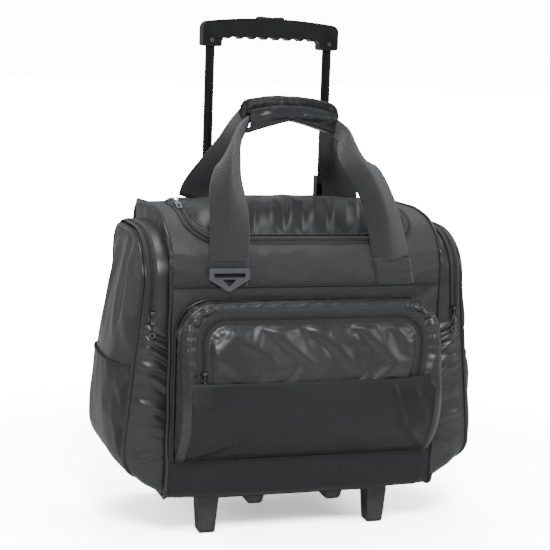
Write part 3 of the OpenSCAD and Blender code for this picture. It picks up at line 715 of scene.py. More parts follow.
FINISHES = (
    ClothFinish("body_twill", (0.019, 0.021, 0.023), Weave.TWILL, 0.52, sheen=0.12, crinkle=0.00012),
    ClothFinish("pocket_satin", (0.0145, 0.0165, 0.0185), Weave.SATIN, 0.38, sheen=0.06,
                crinkle=0.00004, crinkle_scale=34.0, specular=0.65),
    ClothFinish("side_satin", (0.012, 0.0130, 0.0145), Weave.SATIN, 0.44, sheen=0.08,
                crinkle=0.00008, crinkle_scale=30.0),
    ClothFinish("lid_cloth", (0.0125, 0.0127, 0.0145), Weave.SATIN, 0.42, sheen=0.10,
                crinkle=0.00010, crinkle_scale=34.0),
    ClothFinish("slip_twill", (0.0095, 0.0095, 0.0115), Weave.TWILL, 0.44, sheen=0.03,
                crinkle=0.00010, specular=0.4),
    ClothFinish("lining", (0.050, 0.050, 0.053), Weave.LINING, 0.8, sheen=0.2),
    ClothFinish("webbing", (0.024, 0.024, 0.0275), Weave.WEBBING, 0.70, sheen=0.30, crinkle=0.0001),
    ClothFinish("wrap_cloth", (0.004, 0.004, 0.0045), Weave.TWILL, 0.42, sheen=0.02,
                crinkle=0.00012, specular=0.25),
    ClothFinish("flap_satin", (0.016, 0.016, 0.018), Weave.SATIN, 0.34, sheen=0.08, crinkle=0.00006),
    ClothFinish("zip_tape", (0.019, 0.018, 0.018), Weave.TAPE, 0.72, sheen=0.15, crinkle=0.0001),
    ClothFinish("thread", (0.045, 0.046, 0.050), Weave.TAPE, 0.6, sheen=0.2, crinkle=0.0001),
    HardFinish("piping", (0.020, 0.021, 0.023), (0.08, 0.08, 0.085), 0.30, wear=0.5, grain=0.00002),
    HardFinish("zip_teeth", (0.008, 0.008, 0.008), (0.04, 0.04, 0.04), 0.34, wear=0.6, grain=0.00001),
    HardFinish("slider_metal", (0.045, 0.045, 0.05), (0.22, 0.22, 0.23), 0.26, metallic=1.0,
               wear=0.9, grain=0.00001),
    HardFinish("lid_slider_metal", (0.42, 0.42, 0.43), (0.75, 0.75, 0.75), 0.24, metallic=1.0,
               wear=0.8, grain=0.00001),
    HardFinish("ring_plastic", (0.048, 0.050, 0.056), (0.15, 0.15, 0.16), 0.38, wear=0.6),
    HardFinish("hard_plastic", (0.016, 0.0165, 0.018), (0.09, 0.09, 0.09), 0.48, wear=0.8),
    HardFinish("grip_plastic", (0.0035, 0.0035, 0.004), (0.03, 0.03, 0.03), 0.32, wear=0.6, specular=0.3),
    HardFinish("tube_black", (0.0020, 0.0020, 0.0035), (0.03, 0.03, 0.03), 0.24, wear=0.4,
               grain=0.00001, specular=0.3),
    HardFinish("dark_steel", (0.10, 0.10, 0.105), (0.40, 0.40, 0.41), 0.34, metallic=1.0,
               wear=0.7, grain=0.00002),
    HardFinish("steel", (0.42, 0.42, 0.44), (0.72, 0.72, 0.73), 0.32, metallic=1.0, wear=0.7, grain=0.00002),
    HardFinish("tyre_rubber", (0.014, 0.014, 0.015), (0.07, 0.07, 0.07), 0.72, wear=0.8),
    HardFinish("hub_plastic", (0.08, 0.08, 0.085), (0.18, 0.18, 0.18), 0.46, wear=0.6),
)


class Workshop:
    """Keeps the materials and records each finished piece."""

    def __init__(self) -> None:
        """Build the shared effects and every material."""
        effects = Effects()
        self.materials = {finish.name: finish.material(effects) for finish in FINISHES}

    def dress(self, piece: bpy.types.Object, finish: str, body: str,
              replaces: Sequence[str] = ()) -> bpy.types.Object:
        """Give a new piece its material and body, and hide the CAD nodes it stands for.

        Args:
            piece: the finished object.
            finish: name of its finish.
            body: CAD body it moves with.
            replaces: CAD nodes that it stands for.

        Returns:
            The same object.
        """
        if not piece.data.materials:
            piece.data.materials.append(self.materials[finish])
        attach(piece, body)
        if replaces:
            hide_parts(*replaces)
        LOG.info("%s: %d vertices, rides on %s", piece.name, len(piece.data.vertices), body)
        return piece

    def dress_node(self, node: str, finish: str, edge: float = 0.0) -> None:
        """Give a CAD node a better material and, where edge is set, softer edges."""
        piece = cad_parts[node]
        piece.data.materials.clear()
        piece.data.materials.append(self.materials[finish])
        if edge:
            soften_edges(piece, edge)
        LOG.info("%s: CAD piece dressed in %s", node, finish)


# ---------------------------------------------------------------- zips and piping

@dataclass
class ZipMaker:
    """Makes zips along a line: woven tape, a row of teeth and two lines of stitching."""

    shop: Workshop
    tape_half: float = 0.008

    def make(self, name: str, path: Array, normal: Array, body: str, replaces: Sequence[str]) -> None:
        """Sew one zip in.

        Args:
            name: start of its pieces' names.
            path: middle line of the tape, on the cloth.
            normal: outward direction at each point.
            body: CAD body it belongs to.
            replaces: CAD nodes that it stands for.
        """
        side, up = frames_along(path, False, normal)
        tape = sweep(f"{name}_tape", path + up * 0.0006, up, tape_section(self.tape_half, 0.0009))
        self.shop.dress(tape, "zip_tape", body, replaces)
        teeth = blocks_along(f"{name}_teeth", path + up * 0.0012, up, 0.0017, (0.0011, 0.0046, 0.0014),
                             0.0006, 0.0004)
        self.shop.dress(teeth, "zip_teeth", body)
        rows = [blocks_along("row", path + up * 0.0014 + side * k * (self.tape_half - 0.0022), up, 0.0034,
                             (0.0023, 0.0006, 0.0006)) for k in (-1, 1)]
        self.shop.dress(join(f"{name}_stitches", rows), "thread", body)


def stitch_rows(name: str, lines: Sequence[tuple[Array, Array]]) -> bpy.types.Object:
    """Rows of lockstitch, each along a path with its outward directions."""
    return join(name, [blocks_along("row", path + unit(np.broadcast_to(up, path.shape)) * 0.0004, up, 0.0036,
                                    (0.0025, 0.0006, 0.0006)) for path, up in lines])


# ---------------------------------------------------------------- bag body

@dataclass
class CaseBody:
    """The sewn body: one wrapped shell, two side panels, piped seams, and the divider inside."""

    shop: Workshop
    columns: int = 66
    loop: int = 250
    back_r: float = 0.014
    base_r: float = 0.015
    crown: float = 0.0035
    wall: float = 0.003

    def outline(self, count: int) -> Array:
        """Side outline of the body in (y, z)."""
        return side_outline(LAYOUT.front, LAYOUT.back, LAYOUT.base, LAYOUT.top,
                            (LAYOUT.shoulder_depth, LAYOUT.top - LAYOUT.shoulder),
                            self.back_r, self.base_r, count)

    def build(self) -> None:
        """Sew the shell, sides, piping and stitching."""
        self.build_shell()
        for side in (-1, 1):
            self.build_side(side)
        self.build_piping()
        self.build_seams()
        self.shop.dress_node("divider_board", "lining", 0.001)

    def relief(self, x: Array, y: Array, z: Array) -> Array:
        """How far the skin stands out from the plain outline: slack cloth and its folds."""
        u = np.clip(np.abs(x) / LAYOUT.half, 0, 1)
        free = 1 - u ** 4
        points = np.stack([x, y, z], axis=-1)
        on_front = np.clip((LAYOUT.front + 0.05 - y) / 0.05, 0, 1)
        low_band = on_front * (z < 0.108)
        lid_line = np.clip((y - LAYOUT.front - 0.006) / 0.012, 0, 1) * (z > LAYOUT.shoulder)
        out = self.crown * free * np.where(lid_line > 0, 1 - lid_line, 1)
        creases = ripple(points, (16, 30, 34), 3.0) * 0.0016 + ripple(points, (60, 40, 25), 9.0) * 0.0007
        out += creases * free * (1 - 0.85 * lid_line) * (1 - 0.5 * low_band)
        ax = x * on_front
        for side in (-1, 1):
            corner = side * LAYOUT.half
            for drop, reach, size in ((0.0, 0.05, 0.0022), (0.022, 0.062, 0.0020), (0.045, 0.05, 0.0016)):
                inner = (corner - side * reach, 0.366 - drop * 1.4)
                out += on_front * fold(ax, z, (corner, 0.378 - drop), inner, 0.0065, size)
        out += on_front * fold(x, z, (-0.176, 0.064), (-0.110, 0.100), 0.009, 0.0025)
        out += on_front * fold(x, z, (0.158, 0.062), (0.174, 0.104), 0.006, 0.0030)
        gather = np.sin(x * 520 + 3 * np.sin(x * 61)) * np.exp(-((z - 0.3225) / 0.006) ** 2)
        out += on_front * free * 0.0011 * gather
        slump = np.clip((np.abs(x) - 0.085) / 0.095, 0, 1) ** 1.3 * (np.where(x < 0, 1.0, 0.6))
        out -= 0.0105 * slump * np.exp(-((y - LAYOUT.back) / 0.030) ** 2 - ((z - LAYOUT.top) / 0.030) ** 2)
        shoulder = np.exp(-((y - LAYOUT.front - 0.045) / 0.030) ** 2) * (z > LAYOUT.shoulder)
        out += 0.0032 * (x > 0) * u ** 2 * shoulder
        return out

    def build_shell(self) -> None:
        """One sheet around front, bottom, back and top, open where the lid is."""
        ring = self.outline(self.loop)
        tangent = unit(np.roll(ring, -1, axis=0) - np.roll(ring, 1, axis=0))
        outward = np.stack([tangent[:, 1], -tangent[:, 0]], axis=1)
        t = np.linspace(-1, 1, self.columns)
        across = LAYOUT.half * np.sign(t) * (1 - (1 - np.abs(t)) ** 1.15)
        x = np.broadcast_to(across[:, None], (self.columns, self.loop))
        y, z = (np.broadcast_to(ring[:, k], x.shape) for k in range(2))
        out = self.relief(x, y, z)
        points = np.stack([x, y + out * outward[:, 0], z + out * outward[:, 1]], axis=-1)
        lid_low, lid_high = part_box("lid_panel")
        rim = 0.005
        bezel_low, bezel_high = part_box("tube_bezel")

        def outside_lid(centre: Array) -> Array:
            """Faces that are not under the lid, with its front corners rounded."""
            dx = np.abs(centre[:, 0]) - (lid_high.x - 0.028)
            dy = (lid_low.y + 0.028) - centre[:, 1]
            corner = (dx > 0) & (dy > 0) & (np.hypot(dx, dy) > 0.028 + rim)
            inside = ((np.abs(centre[:, 0]) < lid_high.x + rim) & (centre[:, 1] > lid_low.y - rim)
                      & (centre[:, 1] < lid_high.y - 0.002) & (centre[:, 2] > LAYOUT.shoulder))
            bezel = ((centre[:, 0] > bezel_low.x + 0.003) & (centre[:, 0] < bezel_high.x - 0.003)
                     & (centre[:, 1] > bezel_low.y + 0.003) & (centre[:, 1] < bezel_high.y - 0.003)
                     & (centre[:, 2] > LAYOUT.shoulder))
            return (~inside | corner) & ~bezel

        shell = grid_piece("case_shell", points, wrap=True, keep=outside_lid)
        thicken(shell, self.wall, smooth=1)
        for finish in ("body_twill", "pocket_satin", "slip_twill"):
            shell.data.materials.append(self.shop.materials[finish])
        for face in shell.data.polygons:
            centre = face.center
            front = centre.y < LAYOUT.front + 0.012
            if front and 0.1085 < centre.z < LAYOUT.seam:
                face.material_index = 1
            elif front and centre.z <= 0.1085:
                face.material_index = 2
        self.shop.dress(shell, "body_twill", "case",
                        ("front_panel", "back_panel", "bottom_board", "top_panel"))

    def build_side(self, side: int) -> None:
        """One side panel, set just inside the piped seam."""
        label = "left" if side < 0 else "right"
        level, start, stop = spans(self.outline(400), 70)
        t = np.linspace(0, 1, 48)
        y = start[:, None] + (stop - start)[:, None] * t
        z = np.broadcast_to(level[:, None], y.shape)
        edge = np.minimum(np.minimum(y - start[:, None], stop[:, None] - y),
                          np.minimum(z - level[0], level[-1] - z))
        puff = 0.003 * (1 - np.exp(-np.maximum(edge, 0) / 0.02))
        points = np.stack([np.full_like(y, side * (LAYOUT.half - 0.0006)), y, z], axis=-1)
        slack = 0.0012 * ripple(points, (1, 40, 28), 5.0 + side) * np.minimum(edge / 0.01, 1)
        points[..., 0] += side * (puff + slack)
        panel = grid_piece(f"{label}_side_cloth", points, flip=side < 0)
        thicken(panel, self.wall)
        self.shop.dress(panel, "pocket_satin", "case", (f"{label}_side_panel",))

    def build_piping(self) -> None:
        """Piped cord in both side seams, a little uneven as sewn cord is."""
        cords = []
        for side in (-1, 1):
            ring = self.outline(320)
            wave = 0.0005 * np.sin(np.arange(320) * 0.31 + side)
            tangent = unit(np.roll(ring, -1, axis=0) - np.roll(ring, 1, axis=0))
            slump = self.relief(np.full(320, side * LAYOUT.half), ring[:, 0], ring[:, 1])[:, None]
            ring = ring + slump * np.stack([tangent[:, 1], -tangent[:, 0]], axis=1)
            across = np.full(320, side * (LAYOUT.half + 0.0004)) + wave
            path = np.stack([across, ring[:, 0], ring[:, 1]], axis=1)
            cords.append(sweep("cord", path, np.array([1.0, 0, 0]), round_section(0.0026), closed=True))
        self.shop.dress(join("case_piping", cords), "piping", "case", ("body_piping",))

    def build_seams(self) -> None:
        """Felled seams across the front with their top stitching."""
        x = np.linspace(-LAYOUT.half + 0.004, LAYOUT.half - 0.004, 140)
        lines = []
        strips = []
        for z in (LAYOUT.seam, 0.1085):
            plain = np.stack([x, np.full_like(x, LAYOUT.front), np.full_like(x, z)], axis=1)
            out = self.relief(plain[:, 0], plain[:, 1], plain[:, 2])
            path = plain - np.stack([np.zeros_like(x), out + 0.0008, np.zeros_like(x)], axis=1)
            strips.append(sweep("fell", path, np.array([0, -1.0, 0]), round_section(0.0016, 8, 0.7)))
            for step in (0.004, 0.0065):
                lines.append((path + [0, 0.0004, step], np.array([0, -1.0, 0])))
        self.shop.dress(join("front_seams", strips), "slip_twill", "case")
        self.shop.dress(stitch_rows("front_seam_stitches", lines), "thread", "case")


# ---------------------------------------------------------------- lid

@dataclass
class Lid:
    """The soft zipped lid, with its zip, binding and flat pulls."""

    shop: Workshop
    corner: float = 0.030
    puff: float = 0.013

    def plan(self, grow: float, count: int) -> Array:
        """The lid's open U outline in (x, y), from its back left to its back right."""
        low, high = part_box("lid_panel")
        half, front, back, r = high.x + grow, low.y - grow, high.y, self.corner + grow
        points = np.vstack([[[-half, back]], arc((-half + r, front + r), (r, r), 180, 270, 14),
                            arc((half - r, front + r), (r, r), 270, 360, 14), [[half, back]]])
        return resample(points, count)

    def build(self) -> None:
        """Sew the lid's cloth, binding and zip."""
        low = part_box("lid_panel")[0]
        closed = resample(self.plan(0.0, 200), 400, closed=True)
        level, start, stop = spans(closed, 46)
        t = np.linspace(0, 1, 92)
        x = start[:, None] + (stop - start)[:, None] * t
        y = np.broadcast_to(level[:, None], x.shape)
        edge = np.minimum(np.minimum(x - start[:, None], stop[:, None] - x), y - level[0])
        back_edge = level[-1] - y
        rise = (1 - np.exp(-np.maximum(edge, 0) / 0.020)) * (1 - np.exp(-back_edge / 0.03))
        z = LAYOUT.height(y) + self.puff * rise * (0.75 + 0.25 * np.cos(x * 9))
        points = np.stack([x, y, z], axis=-1)
        held = (np.minimum(edge, back_edge) < 0.002).astype(float)
        loose = np.clip(np.minimum(edge, back_edge) / 0.012, 0, 1)
        points[..., 2] += loose * 0.0022 * ripple(points, (20, 9, 1), 2.0)
        for foot, size in ((-0.112, 0.0040), (-0.085, 0.0046), (-0.045, 0.0038), (-0.020, 0.0046),
                           (0.012, 0.0036), (0.040, 0.0030), (0.075, 0.0046), (0.112, 0.0040)):
            ridge = (foot, low.y + 0.004), (foot + 0.024, low.y + 0.085)
            hollow = (foot + 0.016, low.y + 0.004), (foot + 0.034, low.y + 0.06)
            points[..., 2] += loose * fold(x, y, *ridge, 0.0065, size)
            points[..., 2] += loose * fold(x, y, *hollow, 0.005, -size * 0.7)
        lid = grid_piece("lid_cloth_panel", points)
        ClothRecipe(pressure=0.25, slack=0.012, bending=6.0, cap=0.004).settle(lid, held.ravel())
        thicken(lid, 0.003, smooth=1)
        self.shop.dress(lid, "lid_cloth", "lid", ("lid_panel",))
        self.build_zip()

    def build_zip(self) -> None:
        """Tape and teeth around the opening, and the cord that binds the lid's edge."""
        plan = self.plan(0.0055, 240)[6:-2]
        path = np.column_stack([plan, LAYOUT.height(plan[:, 1]) + 0.0006])
        slope = (LAYOUT.height(plan[:, 1] + 0.001) - LAYOUT.height(plan[:, 1] - 0.001)) / 0.002
        normal = unit(np.column_stack([np.zeros(len(plan)), -slope, np.ones(len(plan))]))
        ZipMaker(self.shop, tape_half=0.0062).make("lid_zip", path, normal, "case", ("lid_zip",))
        rim = self.plan(-0.0012, 240)
        edge = np.column_stack([rim, LAYOUT.height(rim[:, 1]) + 0.0014])
        cord = sweep("lid_binding", edge, np.array([0, -0.6, 0.8]), round_section(0.0017))
        self.shop.dress(cord, "piping", "lid")
        self.shop.dress_node("lid_sliders", "lid_slider_metal", 0.0004)
        for pull in ("lid_pull_front", "lid_pull_rear"):
            self.shop.dress_node(pull, "lid_slider_metal", 0.0003)


# ---------------------------------------------------------------- front pocket

@dataclass
class FrontPocket:
    """The bulging front pocket: puckered border, zipped window and open slip pocket."""

    shop: Workshop
    knee: float = 0.193
    deep: float = 0.041
    top_deep: float = 0.020
    corner: float = 0.040
    slip_top: float = 0.216
    zip_half: float = 0.145
    zip_top: float = 0.294
    zip_corner: float = 0.030
    low: Vector = field(default_factory=lambda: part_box("front_pocket")[0])
    high: Vector = field(default_factory=lambda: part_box("front_pocket")[1])

    def depth(self, z: Array) -> Array:
        """Depth of the pocket at a height."""
        slope = (self.deep - self.top_deep) / (self.high.z - self.knee)
        below = np.clip((self.knee - z) / (self.knee - self.low.z), 0, 1)
        return np.where(z >= self.knee, self.deep - slope * (z - self.knee), self.deep * (1 - below ** 2.4))

    def skin(self, x: Array, z: Array) -> Array:
        """Plane of the pocket's face at a point, with its soft crown."""
        u = np.clip(np.abs(x) / self.high.x, 0, 1)
        v = np.clip((z - self.low.z) / (self.high.z - self.low.z), 0, 1)
        return LAYOUT.front - self.depth(z) - 0.004 * (1 - u ** 3) * np.sin(np.pi * v)

    def outline(self, count: int, half: float, bottom: float, top: float, corner: float) -> Array:
        """U outline in (x, z) from the lower left, over the top, to the lower right."""
        left = arc((-half + corner, top - corner), (corner, corner), 180, 90, 16)
        right = arc((half - corner, top - corner), (corner, corner), 90, 0, 16)
        points = np.vstack([[[-half, bottom]], left, right, [[half, bottom]]])
        return resample(points, count)

    def edge_path(self, count: int) -> Array:
        """The piped edge of the pocket in space."""
        flat = self.outline(count, self.high.x, self.low.z + 0.002, self.high.z, self.corner)
        return np.column_stack([flat[:, 0], LAYOUT.front - self.depth(flat[:, 1]), flat[:, 1]])

    def zip_path(self, count: int) -> Array:
        """The middle line of the zip in (x, z); its right leg leans in as the pocket sags."""
        flat = self.outline(count, self.zip_half, self.slip_top - 0.004, self.zip_top, self.zip_corner)
        sag = np.clip((self.zip_top - self.zip_corner - flat[:, 1]) / 0.05, 0, 1) * (flat[:, 0] > 0)
        flat[:, 0] -= 0.009 * sag ** 1.6
        return flat

    def build(self) -> None:
        """Sew all of the pocket's cloth, then its piping and zip."""
        self.build_face()
        self.build_gusset()
        self.build_slip()
        self.build_trim()

    def build_face(self) -> None:
        """The front face: a gathered border held at its piping and zip, and the window inside the zip."""
        rim = self.outline(300, self.high.x, self.low.z, self.high.z, self.corner)
        closed = resample(rim, 600, closed=True)
        level, start, stop = spans(closed, 84)
        t = np.linspace(0, 1, 132)
        x = start[:, None] + (stop - start)[:, None] * t
        z = np.broadcast_to(level[:, None], x.shape)
        points = np.stack([x, self.skin(x, z), z], axis=-1)
        line = self.zip_path(260)

        def distance(to: Array) -> Array:
            """Distance of each grid point from a line in (x, z)."""
            flat = np.stack([x.ravel(), z.ravel()], axis=1)
            return np.min(np.hypot(flat[:, None, 0] - to[None, :, 0], flat[:, None, 1] - to[None, :, 1]),
                          axis=1).reshape(x.shape)

        from_rim, from_zip = distance(rim), distance(line)
        low_edge = z - self.low.z
        border = np.clip(from_zip - 0.0085, 0, None)
        loose = np.clip(np.minimum(np.minimum(from_rim, low_edge), border) / 0.006, 0, 1)
        inside = (np.abs(x) < self.zip_half - 0.004) & (z < self.zip_top)
        turn = np.arctan2(z - 0.262, np.abs(x) - 0.112)
        at_corner = np.exp(-((np.abs(x) - 0.148) / 0.026) ** 2 - ((z - 0.294) / 0.026) ** 2)
        pucker = np.sin(turn * 21 + 1.1 * np.sin(turn * 5 + x * 9)) * at_corner
        run = np.where(np.abs(x) > self.zip_half, z, x)
        gather = np.sin(run * 190 + 2.0 * np.sin(run * 37)) * np.exp(-from_rim / 0.005) * (~inside)
        rolled = np.exp(-((from_rim - 0.0045) / 0.0028) ** 2) * (~inside)
        out = 0.0018 * rolled + loose * (0.0030 * pucker + 0.0005 * gather)
        out += loose * 0.0042 * (~inside) * np.clip(border / 0.009, 0, 1)
        window = [
            ((-0.118, 0.286), (-0.036, 0.226), 0.0085, 0.0044),
            ((-0.085, 0.290), (-0.010, 0.232), 0.0060, -0.0030),
            ((-0.070, 0.292), (0.006, 0.226), 0.0070, 0.0040),
            ((-0.030, 0.290), (0.035, 0.240), 0.0060, -0.0026),
            ((-0.010, 0.290), (0.062, 0.222), 0.0080, 0.0042),
            ((0.040, 0.290), (0.086, 0.246), 0.0060, -0.0028),
            ((0.052, 0.290), (0.112, 0.232), 0.0080, 0.0042),
            ((0.096, 0.290), (0.132, 0.254), 0.0055, 0.0032),
            ((-0.136, 0.260), (-0.095, 0.222), 0.0070, 0.0030),
            ((0.120, 0.224), (0.134, 0.250), 0.006, 0.0028)]
        for start_at, end_at, width, height in window:
            out += loose * inside * fold(x, z, start_at, end_at, width * 1.1, height * 0.55)
        out += loose * inside * (0.0032 + 0.0014 * ripple(points, (15, 1, 18), 7.0))
        under = np.clip((self.slip_top - 0.006 - z) / 0.012, 0, 1)
        under = under * np.clip((self.high.x - 0.008 - np.abs(x)) / 0.005, 0, 1)
        points[..., 1] -= out * (1 - under) - 0.0045 * under
        face = grid_piece("front_pocket_face", points, flip=True)
        held = ((loose < 0.15) | (under > 0.3)).astype(float)
        ClothRecipe(pressure=0.3, slack=0.010, bending=8.0, cap=0.0035).settle(face, held.ravel())
        thicken(face, 0.0018, smooth=1)
        self.shop.dress(face, "pocket_satin", "case", ("front_pocket",))

    def build_gusset(self) -> None:
        """The strip between the bag's front and the pocket's piped edge, puckered at its corners."""
        count = 260
        rim = self.edge_path(count)
        root = rim.copy()
        root[:, 1] = LAYOUT.front - 0.0015
        flat = self.outline(count, self.high.x, self.low.z + 0.002, self.high.z, self.corner)
        tangent = unit(np.gradient(flat, axis=0))
        outward = np.column_stack([-tangent[:, 1], np.zeros(count), tangent[:, 0]])
        t = np.linspace(0, 1, 12)[:, None, None]
        points = root + (rim - root) * t
        depth = np.linalg.norm(rim - root, axis=1)
        run = np.linspace(0, 1, count)
        bend = np.clip(np.abs(np.gradient(tangent[:, 0])) / 0.02, 0, 1)
        ruck = np.sin(run * 190 + 2 * np.sin(run * 37)) * (0.0003 + 0.0020 * bend)
        swell = np.sin(np.pi * t[..., 0]) * (0.0035 * np.clip(depth / 0.02, 0, 1) + ruck)
        points = points + swell[..., None] * outward
        gusset = grid_piece("front_pocket_gusset", points, flip=True)
        thicken(gusset, 0.0016, smooth=1)
        self.shop.dress(gusset, "pocket_satin", "case")

    def build_slip(self) -> None:
        """The slip pocket, closed at its sides and foot, with a hemmed free edge that stands open."""
        rows, columns = 44, 120
        half = self.high.x - 0.0085
        u = np.linspace(-1, 1, columns)[None, :]
        v = np.linspace(0, 1, rows)[:, None]
        x = half * u * np.ones_like(v)
        lift = 0.006 * np.clip((u - 0.72) / 0.28, 0, 1) ** 1.5
        z = self.low.z + 0.003 + (self.slip_top + lift - self.low.z - 0.003) * v
        held_in = np.clip((1 - np.abs(u)) / 0.16, 0, 1)
        gape = (0.0022 + 0.0050 * v ** 1.5 * held_in) * np.clip(v / 0.06, 0.25, 1)
        bend = self.knee + 0.004
        y = self.skin(x, np.minimum(z, bend)) - gape
        lean = self.skin(x, z) - self.skin(x, np.full_like(z, bend))
        y = np.where(z > bend, y + lean * (1 - 0.55 * held_in), y)
        points = np.stack([x, y, z], axis=-1)
        loose = np.clip(np.minimum((1 - np.abs(u)) / 0.05, v / 0.08), 0, 1)
        creases = [
            ((-0.168, 0.190), (-0.120, 0.176), 0.006, 0.0016),
            ((-0.160, 0.116), (-0.070, 0.158), 0.0055, 0.0034),
            ((-0.158, 0.104), (-0.078, 0.142), 0.0060, -0.0026),
            ((-0.050, 0.200), (0.030, 0.196), 0.016, 0.0016),
            ((0.104, 0.206), (0.122, 0.158), 0.0060, 0.0036),
            ((0.114, 0.206), (0.132, 0.156), 0.0050, -0.0032),
            ((0.122, 0.158), (0.146, 0.132), 0.0055, 0.0040),
            ((0.146, 0.132), (0.168, 0.116), 0.0055, 0.0034),
            ((0.136, 0.200), (0.156, 0.150), 0.0080, 0.0036),
            ((-0.166, 0.180), (-0.150, 0.128), 0.006, -0.0020)]
        out = 0.0004 * ripple(points, (7, 1, 8), 11.0)
        for start_at, end_at, width, height in creases:
            out = out + fold(x, z, start_at, end_at, width, height)
        points[..., 1] -= out * loose
        slip = grid_piece("front_slip_cloth", points, flip=True)
        held = np.where((np.abs(u) > 0.985) | (v < 0.03), 1.0, 0.0) * np.ones_like(x)
        ClothRecipe(pressure=0.06, slack=0.001, bending=30.0, cap=0.002).settle(slip, held.ravel())
        top = np.array([v.co for v in slip.data.vertices]).reshape(rows, columns, 3)[-1]
        thicken(slip, 0.0016, smooth=1)
        self.shop.dress(slip, "slip_twill", "case", ("front_slip_pocket",))
        hem = sweep("front_slip_hem", top, np.array([0, -1.0, 0]), round_section(0.0017, 8, 0.8))
        self.shop.dress(hem, "slip_twill", "case")
        line = top + [0, -0.0006, -0.0062]
        stitches = stitch_rows("front_slip_stitches", [(line[2:-2], np.array([0, -1.0, 0]))])
        self.shop.dress(stitches, "thread", "case")

    def build_trim(self) -> None:
        """Piping at the edge and the foot of the gusset, then the zip."""
        edge = self.edge_path(300)
        root = edge.copy()
        root[:, 1] = LAYOUT.front - 0.0024
        flat = self.outline(300, self.high.x + 0.0035, self.low.z + 0.002, self.high.z + 0.0035,
                            self.corner + 0.003)
        root[:, 0], root[:, 2] = flat[:, 0], flat[:, 1]
        cords = [sweep("cord", edge, np.array([0, -1.0, 0]), round_section(0.0025)),
                 sweep("cord", root, np.array([0, -1.0, 0]), round_section(0.0018))]
        self.shop.dress(join("front_pocket_piping_cord", cords), "piping", "case", ("front_pocket_piping",))
        flat = self.zip_path(240)
        path = np.column_stack([flat[:, 0], self.skin(flat[:, 0], flat[:, 1]) - 0.0006, flat[:, 1]])
        above = self.skin(flat[:, 0], flat[:, 1] + 0.001)
        below = self.skin(flat[:, 0], flat[:, 1] - 0.001)
        slope = (above - below) / 0.002
        normal = unit(np.column_stack([np.zeros(len(flat)), -np.ones(len(flat)), slope]))
        ZipMaker(self.shop, tape_half=0.0088).make("front_zip", path, normal, "case", ("front_pocket_zip",))
        self.shop.dress_node("front_slider", "slider_metal", 0.0005)
        self.shop.dress_node("front_pull", "slider_metal", 0.0003)


# ---------------------------------------------------------------- side pockets

